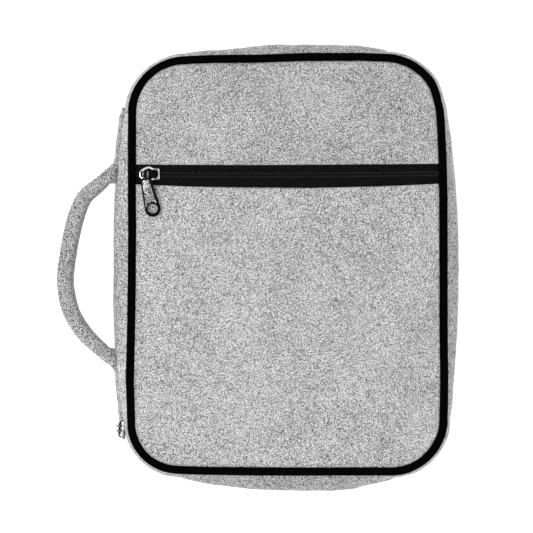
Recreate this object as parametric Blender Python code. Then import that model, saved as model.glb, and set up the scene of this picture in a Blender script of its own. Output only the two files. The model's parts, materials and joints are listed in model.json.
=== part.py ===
"""Zipped carrying case for a book, lying on its back panel.

Two padded panels are joined by a bulging gusset. A zip runs round three sides of it, and the
fourth side is a spine that carries the padded handle. The front panel has a zipped pocket.
Metres. +X is to the right and +Y to the top of the front panel, and +Z comes out of it.
The origin is the middle of the face that the back panel rests on.
"""
import math
from collections import namedtuple

import bmesh
import bpy
from mathutils import Matrix, Vector

GAP = 0.0003                  # clearance between neighbouring pieces

# Outline of both panels, over the binding
PANEL_WIDTH = 0.193
PANEL_HEIGHT = 0.254
SIDE_BOW = 0.0008             # how far the middle of a long side bows out
END_BOW = 0.0012
TOP_LEFT_RADIUS = 0.033
TOP_RIGHT_RADIUS = 0.040
BOTTOM_RIGHT_RADIUS = 0.033
BOTTOM_LEFT_RADIUS = 0.030

# Depth and walls
BAG_DEPTH = 0.060             # from the resting face to the top of the front binding
BACK_THICKNESS = 0.003        # padded back panel
LINING_THICKNESS = 0.0020     # wall behind the pocket
POCKET_SPACE = 0.0010         # between that wall and the pocket cloth at their edges
POCKET_THICKNESS = 0.0014     # padded cloth of the pocket
GUSSET_THICKNESS = 0.002
BINDING_WIDTH = 0.0046
BINDING_DEPTH = 0.005
BINDING_ROUNDING = 0.0013
BINDING_LIFT = 0.0006         # the back binding stays this far off the ground
FRONT_CROWN = 0.0048          # how far the pocket cloth swells forward
LINING_CROWN = 0.0015

# How far the gusset bulges past the panels at the middle of each side, and at the corners
LEFT_SWELL = 0.0090
TOP_SWELL = 0.0073
RIGHT_SWELL = 0.0090
BOTTOM_SWELL = 0.0111
CORNER_SWELL = 0.0032
SEAM_INSET = 0.0005           # the gusset's edges lie this far inside the binding's outer edge

# Zips
TAPE_THICKNESS = 0.0008
TAPE_RECESS = 0.0008          # tape below the cloth that it is sewn under
CHAIN_WIDTH = 0.0046
CHAIN_THICKNESS = 0.0016
CHAIN_RISE = 0.0005           # chain above its tapes
MAIN_BAND = 0.0125            # cloth to cloth across the main zip
POCKET_BAND = 0.0118          # cloth to cloth across the pocket zip
POCKET_ZIP_HEIGHT = 0.0549    # pocket zip above the middle of the panel
POCKET_ZIP_SAG = 0.0015
SAG_REACH = 0.055             # the sag fades out this far above and below the zip
MAIN_ZIP_SHARE = 0.45         # height of the main zip, as a share of the gusset's depth

# Sliders and pull tabs
SLIDER_LENGTH = 0.0124
SLIDER_WIDTH = 0.0090
SLIDER_HEEL = 0.0071          # width of its square end, over the closed chain
SLIDER_NOSE = 0.0030          # width of its blunt point
SLIDER_PLATE = 0.0015
BRIDGE_LENGTH = 0.0104
BRIDGE_WIDTH = 0.0021
BRIDGE_THICKNESS = 0.0010
EYE_CLEARANCE = 0.0002
EYE_WALL = 0.0007
EYE_WIDTH = 0.0032
TAB_LENGTH = 0.0265           # hinge line to the tab's far end
TAB_TOP_WIDTH = 0.0075
TAB_FOOT_WIDTH = 0.0097
TAB_THICKNESS = 0.0012
TAB_CORNER = 0.0046            # its foot is all but a half circle
TAB_HOLE = 0.0058
TAB_HOLE_MARGIN = 0.0021      # metal left below the hole
TAB_LEAN = math.radians(11)   # the pocket's tab lies askew
POCKET_SLIDER_FROM_LEFT = 0.0139   # middle of the slider from the panel's left edge
MAIN_SLIDER_CLEAR = 0.0005         # between the parked main slider and the end of the spine

# Handle
HANDLE_WIDTH = 0.025
HANDLE_THICKNESS = 0.0100
HANDLE_REACH = 0.0288         # how far its middle line stands off where its ends lie
HANDLE_ROUNDING = 0.0042

# The handle from its top end down. along runs from -1 to 1 over the spine's length, reach is a
# share of HANDLE_REACH and body a share of HANDLE_THICKNESS.
Bend = namedtuple("Bend", "along reach body")
HANDLE_COURSE = [
    Bend(0.970, 0.000, 0.24),
    Bend(0.820, 0.000, 0.25),
    Bend(0.700, 0.000, 0.27),
    Bend(0.645, 0.032, 0.40),
    Bend(0.588, 0.130, 0.70),
    Bend(0.525, 0.350, 0.86),
    Bend(0.460, 0.585, 0.92),
    Bend(0.385, 0.715, 0.97),
    Bend(0.270, 0.825, 1.00),
    Bend(0.120, 0.920, 1.00),
    Bend(-0.060, 1.000, 1.00),
    Bend(-0.180, 0.970, 1.00),
    Bend(-0.270, 0.905, 1.00),
    Bend(-0.350, 0.785, 0.98),
    Bend(-0.430, 0.615, 0.94),
    Bend(-0.500, 0.400, 0.90),
    Bend(-0.560, 0.190, 0.78),
    Bend(-0.615, 0.060, 0.50),
    Bend(-0.680, 0.000, 0.28),
    Bend(-0.820, 0.000, 0.25),
    Bend(-0.960, 0.000, 0.24),
]

# Fineness of the meshes
CORNER_STEPS = 8
SIDE_STEPS = 8
PANEL_COLUMNS = 12
MIDDLE_ROWS = 6
HANDLE_STEPS = 2

# Sizes that follow from the ones above
HALF_WIDTH = PANEL_WIDTH / 2 - SIDE_BOW
HALF_HEIGHT = PANEL_HEIGHT / 2 - END_BOW
PANEL_INSET = BINDING_WIDTH + GAP
SPINE_TOP = HALF_HEIGHT - TOP_LEFT_RADIUS
SPINE_FOOT = -HALF_HEIGHT + BOTTOM_LEFT_RADIUS
FRONT_BINDING_FOOT = BAG_DEPTH - BINDING_DEPTH
GUSSET_FOOT = BINDING_LIFT + BINDING_DEPTH + GAP
GUSSET_TOP = FRONT_BINDING_FOOT - GAP
GUSSET_DEPTH = GUSSET_TOP - GUSSET_FOOT
MAIN_ZIP_Z = GUSSET_FOOT + MAIN_ZIP_SHARE * GUSSET_DEPTH
LINING_TOP = FRONT_BINDING_FOOT + LINING_THICKNESS
POCKET_TOP = LINING_TOP + POCKET_SPACE + POCKET_THICKNESS
BRIDGE_RADIUS = math.hypot(BRIDGE_WIDTH, BRIDGE_THICKNESS) / 2
EYE_BORE = BRIDGE_RADIUS + EYE_CLEARANCE
EYE_RADIUS = EYE_BORE + EYE_WALL
BRIDGE_RISE = EYE_RADIUS + GAP

Station = namedtuple("Station", "x y nx ny swell")


def make_material(name, color, roughness, metallic=0.0):
    material = bpy.data.materials.new(name)
    material.use_nodes = True
    shader = material.node_tree.nodes["Principled BSDF"]
    shader.inputs["Base Color"].default_value = (*color, 1.0)
    shader.inputs["Roughness"].default_value = roughness
    shader.inputs["Metallic"].default_value = metallic
    material.diffuse_color = (*color, 1.0)
    return material


def add_object(name, bm, material, smooth_angle=40):
    """An object from a bmesh, with its faces turned out and its round parts shaded smooth."""
    bmesh.ops.recalc_face_normals(bm, faces=bm.faces)
    if bm.calc_volume(signed=True) < 0:
        bmesh.ops.reverse_faces(bm, faces=bm.faces)
    mesh = bpy.data.meshes.new(name)
    bm.to_mesh(mesh)
    bm.free()
    mesh.shade_smooth()
    mesh.set_sharp_from_angle(angle=math.radians(smooth_angle))
    mesh.materials.append(material)
    obj = bpy.data.objects.new(name, mesh)
    bpy.context.scene.collection.objects.link(obj)
    return obj


def loft(name, sections, material, closed=False):
    """A solid through closed loops of points; closed joins the last loop to the first."""
    bm = bmesh.new()
    loops = [[bm.verts.new(point) for point in section] for section in sections]
    pairs = list(zip(loops, loops[1:]))
    if closed:
        pairs.append((loops[-1], loops[0]))
    for one, two in pairs:
        for k in range(len(one)):
            n = (k + 1) % len(one)
            bm.faces.new((one[k], one[n], two[n], two[k]))
    if not closed:
        bm.faces.new(loops[0])
        bm.faces.new(loops[-1])
    return add_object(name, bm, material)


def bowed(x, y, z):
    """A point moved out with the slight bow of the panels' sides."""
    across = x / HALF_WIDTH
    along = y / HALF_HEIGHT
    return Vector((x + across * SIDE_BOW * (1 - along * along),
                   y + along * END_BOW * (1 - across * across), z))


def swelling(u, reach, flatness):
    """Bulge of the gusset at u, which runs from -1 to 1 along a side."""
    return CORNER_SWELL + (reach - CORNER_SWELL) * (1 - abs(u) ** flatness)


def side_stations(start, end, normal, reach, flatness=2.0, steps=SIDE_STEPS):
    stations = []
    for k in range(steps + 1):
        share = k / steps
        stations.append(Station(start[0] + (end[0] - start[0]) * share,
                                start[1] + (end[1] - start[1]) * share,
                                *normal, swelling(2 * share - 1, reach, flatness)))
    return stations


def corner_stations(centre, radius, start_degrees):
    """The points inside a corner's quarter circle, clockwise, without its two ends."""
    stations = []
    for k in range(1, CORNER_STEPS):
        angle = math.radians(start_degrees - 90 * k / CORNER_STEPS)
        nx, ny = math.cos(angle), math.sin(angle)
        stations.append(Station(centre[0] + nx * radius, centre[1] + ny * radius,
                                nx, ny, CORNER_SWELL))
    return stations


SPINE_FLATNESS = 3.0          # the handle pulls the spine flatter than the other sides


def spine_stations(trim=0.0):
    return side_stations((-HALF_WIDTH, SPINE_FOOT + trim), (-HALF_WIDTH, SPINE_TOP - trim),
                         (-1, 0), LEFT_SWELL, SPINE_FLATNESS)


def zip_stations():
    """The stretch round the top, right and bottom, from the spine's top end to its foot."""
    w, h = HALF_WIDTH, HALF_HEIGHT
    tl, tr, br, bl = TOP_LEFT_RADIUS, TOP_RIGHT_RADIUS, BOTTOM_RIGHT_RADIUS, BOTTOM_LEFT_RADIUS
    stations = [Station(-w, h - tl, -1, 0, CORNER_SWELL)]
    stations += corner_stations((-w + tl, h - tl), tl, 180)
    stations += side_stations((-w + tl, h), (w - tr, h), (0, 1), TOP_SWELL)
    stations += corner_stations((w - tr, h - tr), tr, 90)
    stations += side_stations((w, h - tr), (w, -h + br), (1, 0), RIGHT_SWELL)
    stations += corner_stations((w - br, -h + br), br, 0)
    stations += side_stations((w - br, -h), (-w + bl, -h), (0, -1), BOTTOM_SWELL)
    stations += corner_stations((-w + bl, -h + bl), bl, -90)
    stations.append(Station(-w, -h + bl, -1, 0, CORNER_SWELL))
    return stations


def ring_stations():
    return zip_stations() + spine_stations()[1:-1]


def round_bulge(share):
    """Bulge of the zipped sides over the depth, fullest just in front of the zip."""
    return math.sin(math.pi * share ** 1.357)


def flat_bulge(share):
    """Bulge of the spine over the depth, broad enough for the handle to lie on."""
    return 1 - abs(2 * share - 1) ** 3.2


def gusset_offset(station, z, bulge):
    share = min(max((z - GUSSET_FOOT) / GUSSET_DEPTH, 0.0), 1.0)
    return station.swell * bulge(share) - SEAM_INSET


def wall_loop(station, low, high, steps, recess, thickness, bulge):
    """The cross-section of a strip of the gusset between two heights."""
    heights = [low + (high - low) * k / steps for k in range(steps + 1)]
    outer = [(gusset_offset(station, z, bulge) - recess, z) for z in heights]
    inner = [(offset - thickness, z) for offset, z in reversed(outer)]
    return [bowed(station.x + station.nx * offset, station.y + station.ny * offset, z)
            for offset, z in outer + inner]


def gusset_strip(name, stations, low, high, material, bulge=round_bulge, steps=4,
                 recess=0.0, thickness=GUSSET_THICKNESS):
    loops = [wall_loop(s, low, high, steps, recess, thickness, bulge) for s in stations]
    return loft(name, loops, material)


def rounded_loop(width, depth, radius, steps=2):
    """A rectangle with round corners, centred on 0, as pairs of numbers."""
    radius = min(radius, width / 2 * 0.98, depth / 2 * 0.98)
    loop = []
    for quarter, (sx, sy) in enumerate(((1, 1), (-1, 1), (-1, -1), (1, -1))):
        for k in range(steps + 1):
            angle = math.radians(90 * (quarter + k / steps))
            loop.append((sx * (width / 2 - radius) + radius * math.cos(angle),
                         sy * (depth / 2 - radius) + radius * math.sin(angle)))
    return loop


def binding_ring(name, foot, material):
    profile = rounded_loop(BINDING_WIDTH, BINDING_DEPTH, BINDING_ROUNDING, steps=1)
    loops = []
    for s in ring_stations():
        loops.append([bowed(s.x + s.nx * (offset - BINDING_WIDTH / 2),
                            s.y + s.ny * (offset - BINDING_WIDTH / 2),
                            foot + BINDING_DEPTH / 2 + z) for offset, z in profile])
    return loft(name, loops, material, closed=True)


def edge_x(y, inset, side):
    """Where the panel's left (-1) or right (1) edge lies at height y."""
    top, foot = ((TOP_LEFT_RADIUS, BOTTOM_LEFT_RADIUS) if side < 0
                 else (TOP_RIGHT_RADIUS, BOTTOM_RIGHT_RADIUS))
    for radius, beyond in ((top, y - (HALF_HEIGHT - top)), (foot, -(HALF_HEIGHT - foot) - y)):
        if beyond > 0:
            reach = max((radius - inset) ** 2 - beyond ** 2, 0.0)
            return side * (HALF_WIDTH - radius + math.sqrt(reach))
    return side * (HALF_WIDTH - inset)


def panel_rows(low, high, inset=PANEL_INSET):
    """Heights of a panel's rows, closer together round its corners."""
    top = max(TOP_LEFT_RADIUS, TOP_RIGHT_RADIUS)
    foot = max(BOTTOM_LEFT_RADIUS, BOTTOM_RIGHT_RADIUS)
    rows = []
    for k in range(CORNER_STEPS + 1):
        rise = math.sin(math.pi / 2 * k / CORNER_STEPS)
        rows.append(HALF_HEIGHT - top + rise * (top - inset))
        rows.append(foot - HALF_HEIGHT - rise * (foot - inset))
    middle = (foot - HALF_HEIGHT, HALF_HEIGHT - top)
    rows += [middle[0] + (middle[1] - middle[0]) * k / MIDDLE_ROWS for k in range(1, MIDDLE_ROWS)]
    clear = 0.25 * (HALF_HEIGHT - inset) / MIDDLE_ROWS
    fence = [low, high]
    at_edge = HALF_HEIGHT - inset
    inside = [y for y in sorted(rows) if low < y < high
              and all(abs(y - f) > clear or abs(f) >= at_edge for f in fence)]
    return [low] + inside + [high]


def crown(x, y, height):
    """Swell of a panel above its edge."""
    across = min(abs(x) / (HALF_WIDTH - PANEL_INSET), 1.0)
    along = min(abs(y) / (HALF_HEIGHT - PANEL_INSET), 1.0)
    return height * (1 - across ** 3) * (1 - along ** 3)


def sagged(x, y):
    """Height on the front after the pocket zip's sag."""
    fade = max(0.0, 1 - abs(y - POCKET_ZIP_HEIGHT) / SAG_REACH)
    return y - POCKET_ZIP_SAG * fade * (1 - (x / HALF_WIDTH) ** 2)


def panel(name, low, high, top, thickness, crown_height, material, sag=False, flat_foot=False):
    """A padded panel between two heights, as a stack of cross-sections from side to side."""
    loops = []
    for y in panel_rows(low, high):
        left, right = edge_x(y, PANEL_INSET, -1), edge_x(y, PANEL_INSET, 1)
        upper, lower = [], []
        for k in range(PANEL_COLUMNS + 1):
            share = 0.5 + 0.5 * math.sin(math.pi * (k / PANEL_COLUMNS - 0.5))
            x = left + (right - left) * share
            height = sagged(x, y) if sag else y
            z = top + crown(x, height, crown_height)
            upper.append(bowed(x, height, z))
            lower.append(bowed(x, height, top - thickness if flat_foot else z - thickness))
        loops.append(upper + lower[::-1])
    return loft(name, loops, material)


def cloth_strip(name, centre, width, top, thickness, material):
    """A strip of zip from side to side of the pocket, at its place across the band."""
    left, right = edge_x(centre, PANEL_INSET, -1), edge_x(centre, PANEL_INSET, 1)
    loops = []
    for k in range(PANEL_COLUMNS + 1):
        share = 0.5 + 0.5 * math.sin(math.pi * (k / PANEL_COLUMNS - 0.5))
        x = left + (right - left) * share
        corners = []
        for y, z in ((centre - width / 2, top), (centre + width / 2, top),
                     (centre + width / 2, top - thickness), (centre - width / 2, top - thickness)):
            corners.append(bowed(x, sagged(x, y), z + crown(x, centre, FRONT_CROWN)))
        loops.append(corners)
    return loft(name, loops, material)


def spine_surface(y):
    """Outermost x of the spine at height y."""
    middle = (SPINE_TOP + SPINE_FOOT) / 2
    u = (y - middle) / ((SPINE_TOP - SPINE_FOOT) / 2)
    offset = swelling(u, LEFT_SWELL, SPINE_FLATNESS) - SEAM_INSET
    return bowed(-HALF_WIDTH - offset, y, 0).x


def between(a, b, c, d, t):
    """Smooth curve through b and c, for t from 0 to 1."""
    return 0.5 * (2 * b + (c - a) * t + (2 * a - 5 * b + 4 * c - d) * t ** 2
                  + (3 * b - a - 3 * c + d) * t ** 3)


def handle(name, material):
    """The padded strap: flat ends on the spine and a full grip between them."""
    middle, half = (SPINE_TOP + SPINE_FOOT) / 2, (SPINE_TOP - SPINE_FOOT) / 2
    end_body = HANDLE_COURSE[0].body * HANDLE_THICKNESS
    knots = []
    for bend in HANDLE_COURSE:
        y = middle + bend.along * half
        lying = spine_surface(y) - GAP - end_body / 2
        knots.append(Vector((lying - bend.reach * HANDLE_REACH, y, bend.body * HANDLE_THICKNESS)))
    knots = [knots[0]] + knots + [knots[-1]]
    line = []
    for k in range(1, len(knots) - 2):
        line += [between(*knots[k - 1:k + 3], t / HANDLE_STEPS) for t in range(HANDLE_STEPS)]
    line.append(knots[-1])
    depth = GUSSET_FOOT + GUSSET_DEPTH / 2
    loops = []
    for k, knot in enumerate(line):
        run = line[min(k + 1, len(line) - 1)] - line[max(k - 1, 0)]
        tangent = Vector((run.x, run.y)).normalized()
        across = Vector((tangent.y, -tangent.x))
        body = knot.z
        shape = rounded_loop(body, HANDLE_WIDTH, min(HANDLE_ROUNDING, body / 2))
        clear = max(0.0, body - end_body) / 2 * max(0.0, 1 - (spine_surface(knot.y) - knot.x) / body)
        loops.append([Vector((knot.x - clear + across.x * a, knot.y + across.y * a, depth + b))
                      for a, b in shape])
    return loft(name, loops, material)


def prism(outline, low, high):
    """A bmesh of an outline in the local XY plane, drawn out along Z."""
    bm = bmesh.new()
    foot = [bm.verts.new((x, y, low)) for x, y in outline]
    head = [bm.verts.new((x, y, high)) for x, y in outline]
    for k in range(len(outline)):
        n = (k + 1) % len(outline)
        bm.faces.new((foot[k], foot[n], head[n], head[k]))
    bm.faces.new(foot[::-1])
    bm.faces.new(head)
    return bm


def cylinder(radius, length, axis, centre, sides):
    """A bmesh of a closed cylinder along the local X or Z axis."""
    bm = bmesh.new()
    bmesh.ops.create_cone(bm, cap_ends=True, segments=sides, radius1=radius, radius2=radius,
                          depth=length)
    turn = Matrix.Rotation(math.pi / 2, 4, "Y") if axis == "X" else Matrix.Identity(4)
    bm.transform(Matrix.Translation(centre) @ turn)
    return bm


def join_or_cut(obj, tool_name, bm, operation, place):
    """Unite a shape with the object, or cut it away, by a Boolean that stays on the object."""
    tool = add_object(tool_name, bm, obj.data.materials[0])
    tool.matrix_world = place
    tool.hide_render = True
    tool.display_type = "WIRE"
    modifier = obj.modifiers.new(tool_name, "BOOLEAN")
    modifier.operation = operation
    modifier.object = tool
    return tool


def slider(name, place, material):
    """A zip slider: a plate with a square heel and a blunt point, and an arched bridge over it.

    Locally +X runs along the closed zip, +Z off it, and the plate's underside is at z = 0.
    """
    half, wide, heel, nose = SLIDER_LENGTH / 2, SLIDER_WIDTH / 2, SLIDER_HEEL / 2, SLIDER_NOSE / 2
    upper = [(half, heel), (half * 0.35, heel), (0, wide), (-half * 0.35, wide),
             (-half * 0.8, (wide + nose) / 2), (-half, nose)]
    outline = upper + [(x, -y) for x, y in reversed(upper)]
    plate = add_object(name, prism(outline, 0, SLIDER_PLATE), material)
    plate.matrix_world = place
    span, rise = BRIDGE_LENGTH / 2, BRIDGE_RISE + BRIDGE_THICKNESS / 2
    foot, sunk = BRIDGE_THICKNESS, SLIDER_PLATE / 2
    top = SLIDER_PLATE + rise
    bm = bmesh.new()
    arch = [(-span, sunk), (-span, top - foot), (-span + foot, top), (span - foot, top),
            (span, top - foot), (span, sunk), (span - foot, sunk),
            (span - foot, top - BRIDGE_THICKNESS), (-span + foot, top - BRIDGE_THICKNESS),
            (-span + foot, sunk)]
    front = [bm.verts.new((x, -BRIDGE_WIDTH / 2, z)) for x, z in arch]
    back = [bm.verts.new((x, BRIDGE_WIDTH / 2, z)) for x, z in arch]
    for k in range(len(arch)):
        n = (k + 1) % len(arch)
        bm.faces.new((front[k], front[n], back[n], back[k]))
    bm.faces.new(front[::-1])
    bm.faces.new(back)
    join_or_cut(plate, name + "_bridge", bm, "UNION", place)
    return plate


def pull_tab(name, place, lean, droop, material):
    """A pull tab whose eye turns on the bridge. Locally the hinge line is X and the tab runs
    towards -Y; lean turns it sideways in its plane and droop lowers its far end."""
    top, foot, corner = TAB_TOP_WIDTH / 2, TAB_FOOT_WIDTH / 2, TAB_CORNER
    neck, shoulder = EYE_WIDTH / 2, EYE_RADIUS + EYE_WALL
    start = EYE_BORE + EYE_WALL / 2
    right = [(neck, -start), (neck, -shoulder), (top, -shoulder - corner)]
    for k in range(4):
        angle = math.radians(-30 * k)
        right.append((foot - corner + corner * math.cos(angle),
                      -TAB_LENGTH + corner + corner * math.sin(angle)))
    outline = right + [(-x, y) for x, y in reversed(right)]
    bm = prism(outline, -TAB_THICKNESS / 2, TAB_THICKNESS / 2)
    bore = cylinder(EYE_BORE, EYE_WIDTH * 1.5, "X", (0, 0, 0), 12)
    hole_y = -TAB_LENGTH + TAB_HOLE_MARGIN + TAB_HOLE / 2
    hole = cylinder(TAB_HOLE / 2, TAB_THICKNESS * 3, "Z", (0, hole_y, 0), 16)
    eye = cylinder(EYE_RADIUS, EYE_WIDTH, "X", (0, 0, 0), 12)
    turn = Matrix.Rotation(droop, 4, "X")
    skew = Matrix.Rotation(lean, 4, "Z")
    pivot = Matrix.Translation((0, -shoulder, 0))
    lay = turn @ pivot @ skew @ pivot.inverted()
    bm.transform(lay)
    hole.transform(lay)
    tab = add_object(name, bm, material)
    tab.matrix_world = place
    join_or_cut(tab, name + "_eye", eye, "UNION", place)
    join_or_cut(tab, name + "_bore", bore, "DIFFERENCE", place)
    join_or_cut(tab, name + "_hole", hole, "DIFFERENCE", place)
    return tab


def chain_top(x):
    """Top of the pocket's chain at x."""
    return POCKET_TOP - TAPE_RECESS + CHAIN_RISE + crown(x, POCKET_ZIP_HEIGHT, FRONT_CROWN)


def pocket_slider_place():
    """The pocket's slider sits level, just clear of the highest part of the chain below it."""
    x = -HALF_WIDTH + POCKET_SLIDER_FROM_LEFT
    z = chain_top(x + SLIDER_LENGTH / 2) + GAP
    return Matrix.Translation(bowed(x, sagged(x, POCKET_ZIP_HEIGHT), z))


def main_slider_place():
    """The main slider sits on the chain just past the spine's foot, and faces out to the left."""
    y = SPINE_FOOT - MAIN_SLIDER_CLEAR - SLIDER_LENGTH / 2
    spine_foot = Station(-HALF_WIDTH, y, -1, 0, CORNER_SWELL)
    offset = gusset_offset(spine_foot, MAIN_ZIP_Z, round_bulge) - TAPE_RECESS + CHAIN_RISE + GAP
    turn = Matrix(((0, 0, -1), (-1, 0, 0), (0, 1, 0))).to_4x4()
    return Matrix.Translation(bowed(-HALF_WIDTH - offset, y, MAIN_ZIP_Z)) @ turn


def hinge_place(place):
    """The hinge line in the middle of a slider's bridge."""
    return place @ Matrix.Translation((0, 0, SLIDER_PLATE + BRIDGE_RISE))


def pocket_droop(hinge):
    """How far the pocket's tab tips down before its far end lies on the cloth."""
    x, y = hinge.x + TAB_LENGTH * math.sin(TAB_LEAN) + TAB_FOOT_WIDTH / 2, hinge.y - TAB_LENGTH
    cloth = POCKET_TOP + crown(x, y, FRONT_CROWN)
    drop = hinge.z - cloth - TAB_THICKNESS / 2 - 2 * GAP
    return math.asin(drop / TAB_LENGTH)


def build():
    for obj in list(bpy.data.objects):
        bpy.data.objects.remove(obj)
    heather = make_material("heather_cloth", (0.46, 0.46, 0.46), 0.95)
    binding = make_material("black_binding", (0.004, 0.004, 0.004), 0.8)
    tape = make_material("black_tape", (0.008, 0.008, 0.008), 0.8)
    coil = make_material("black_coil", (0.012, 0.012, 0.012), 0.45)
    nickel = make_material("nickel", (0.62, 0.62, 0.62), 0.3, 1.0)

    edge = HALF_HEIGHT - PANEL_INSET
    panel("back_panel", -edge, edge, BACK_THICKNESS, BACK_THICKNESS, 0.0, heather, flat_foot=True)
    panel("pocket_lining", -edge, edge, LINING_TOP, LINING_THICKNESS, LINING_CROWN, heather)
    seam = POCKET_BAND / 2
    panel("pocket_lower", -edge, POCKET_ZIP_HEIGHT - seam, POCKET_TOP, POCKET_THICKNESS,
          FRONT_CROWN, heather, sag=True)
    panel("pocket_upper", POCKET_ZIP_HEIGHT + seam, edge, POCKET_TOP, POCKET_THICKNESS,
          FRONT_CROWN, heather, sag=True)
    binding_ring("binding_back", BINDING_LIFT, binding)
    binding_ring("binding_front", FRONT_BINDING_FOOT, binding)

    tape_width = seam - CHAIN_WIDTH / 2 - 2 * GAP
    tape_middle = CHAIN_WIDTH / 2 + GAP + tape_width / 2
    tape_top = POCKET_TOP - TAPE_RECESS
    cloth_strip("pocket_tape_upper", POCKET_ZIP_HEIGHT + tape_middle, tape_width, tape_top,
                TAPE_THICKNESS, tape)
    cloth_strip("pocket_tape_lower", POCKET_ZIP_HEIGHT - tape_middle, tape_width, tape_top,
                TAPE_THICKNESS, tape)
    cloth_strip("pocket_chain", POCKET_ZIP_HEIGHT, CHAIN_WIDTH, tape_top + CHAIN_RISE,
                CHAIN_THICKNESS, coil)

    run = zip_stations()
    half_band, half_chain = MAIN_BAND / 2, CHAIN_WIDTH / 2
    gusset_strip("gusset_back", run, GUSSET_FOOT, MAIN_ZIP_Z - half_band - GAP, heather)
    gusset_strip("gusset_front", run, MAIN_ZIP_Z + half_band + GAP, GUSSET_TOP, heather)
    gusset_strip("main_tape_back", run, MAIN_ZIP_Z - half_band, MAIN_ZIP_Z - half_chain - GAP,
                 tape, steps=1, recess=TAPE_RECESS, thickness=TAPE_THICKNESS)
    gusset_strip("main_tape_front", run, MAIN_ZIP_Z + half_chain + GAP, MAIN_ZIP_Z + half_band,
                 tape, steps=1, recess=TAPE_RECESS, thickness=TAPE_THICKNESS)
    gusset_strip("main_chain", run, MAIN_ZIP_Z - half_chain, MAIN_ZIP_Z + half_chain, coil,
                 steps=1, recess=TAPE_RECESS - CHAIN_RISE, thickness=CHAIN_THICKNESS)
    gusset_strip("spine", spine_stations(trim=GAP), GUSSET_FOOT, GUSSET_TOP, heather,
                 bulge=flat_bulge, steps=8)
    handle("handle", heather)

    pocket_place = pocket_slider_place()
    pocket_hinge = hinge_place(pocket_place)
    slider("pocket_slider", pocket_place, nickel)
    pull_tab("pocket_puller", pocket_hinge, TAB_LEAN, pocket_droop(pocket_hinge.translation),
             nickel)
    main_place = main_slider_place()
    slider("main_slider", main_place, nickel)
    pull_tab("main_puller", hinge_place(main_place), 0.0, 0.0, nickel)


build()
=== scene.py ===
"""Looks of a zipped book carrying case that lies on its back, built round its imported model."""

import json
import math
from collections import namedtuple

import bmesh
import bpy
import numpy as np
from bpy.props import FloatProperty, FloatVectorProperty, PointerProperty
from mathutils import Matrix, Vector, noise


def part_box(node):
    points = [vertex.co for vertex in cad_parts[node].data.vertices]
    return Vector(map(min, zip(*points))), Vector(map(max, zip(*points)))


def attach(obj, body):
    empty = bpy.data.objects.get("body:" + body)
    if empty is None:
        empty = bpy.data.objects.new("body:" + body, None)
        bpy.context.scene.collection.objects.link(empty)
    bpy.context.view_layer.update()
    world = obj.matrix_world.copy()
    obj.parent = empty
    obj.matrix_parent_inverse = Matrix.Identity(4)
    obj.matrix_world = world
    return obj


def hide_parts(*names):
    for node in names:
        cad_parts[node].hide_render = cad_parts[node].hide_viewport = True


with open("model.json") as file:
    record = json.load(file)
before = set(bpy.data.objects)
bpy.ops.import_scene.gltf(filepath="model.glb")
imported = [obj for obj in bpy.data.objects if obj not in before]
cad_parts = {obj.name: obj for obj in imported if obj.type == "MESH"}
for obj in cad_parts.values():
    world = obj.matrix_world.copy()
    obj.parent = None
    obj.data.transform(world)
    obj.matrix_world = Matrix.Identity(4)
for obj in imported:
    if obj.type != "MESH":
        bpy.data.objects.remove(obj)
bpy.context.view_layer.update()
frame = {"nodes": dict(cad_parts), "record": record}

bl_info = {
    "name": "Zipped Book Case",
    "version": (1, 0, 0),
    "blender": (4, 5, 0),
    "location": "3D View > Sidebar > Book Case",
    "description": "Dresses the model of a zipped book carrying case",
    "category": "Object",
}

MM = 0.001


def low(node):
    return Vector(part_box(node)[0])


def high(node):
    return Vector(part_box(node)[1])


# Outline of the panels, read from the front binding, and its corners
SIDE_BOW = 0.8 * MM
END_BOW = 1.2 * MM
HALF_WIDTH = (high("binding_front").x - low("binding_front").x) / 2 - SIDE_BOW
HALF_HEIGHT = (high("binding_front").y - low("binding_front").y) / 2 - END_BOW
TOP_LEFT_RADIUS = 33 * MM
TOP_RIGHT_RADIUS = 36 * MM
BOTTOM_RIGHT_RADIUS = 33 * MM
BOTTOM_LEFT_RADIUS = 30 * MM

# How far the worn outline strays from the plain one, in millimetres: points along each side
# from the foot up, and along each end from the left
STRAY_LEFT = ((-110, -94, -70, -46, -10, 20, 50, 100), (-0.4, -0.3, -0.9, -0.1, 0.6, 0.8, 0.5, 0.4))
STRAY_RIGHT = ((-118, -94, -70, -46, 0, 40, 63, 87, 99, 111),
               (1.6, 1.4, 1.6, 1.1, 0.9, 0.9, 0.5, -0.5, -1.3, 0.2))
STRAY_TOP = ((-76, -65, -45, -17, -4, 10, 45, 56, 70), (-1.2, -0.8, -0.2, -0.2, 0.3, 0.8, 1.2, 0.9, 0.8))
STRAY_BOTTOM = ((-70, -50, 30, 50, 80), (-0.2, -0.6, -0.8, -1.0, -1.4))

# Heights, read from the frame
GUSSET_FOOT = low("gusset_back").z
GUSSET_TOP = high("gusset_front").z
GUSSET_DEPTH = GUSSET_TOP - GUSSET_FOOT
MAIN_ZIP_Z = (low("main_chain").z + high("main_chain").z) / 2
MAIN_BAND = low("gusset_front").z - high("gusset_back").z
BINDING_WIDTH = 5.1 * MM
BINDING_PROUD = 0.3 * MM
FRONT_CROWN = 4.8 * MM
POCKET_TOP = 59.4 * MM        # top of the pocket cloth at its edges
POCKET_BAND = 11.8 * MM
POCKET_ZIP_HEIGHT = 54.9 * MM
POCKET_ZIP_SAG = 1.5 * MM
POCKET_LIP_SAG = 2.4 * MM     # further sag of the cloth's edge under the zip
SAG_REACH = 55 * MM

# The gusset's bulge past the panels
CORNER_SWELL = 3.2 * MM
LEFT_SWELL = 9.0 * MM
TOP_SWELL = 7.3 * MM
RIGHT_SWELL = 9.0 * MM
BOTTOM_SWELL = 11.1 * MM
SEAM_INSET = 0.5 * MM
SPINE_FLATNESS = 3.0

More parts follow.
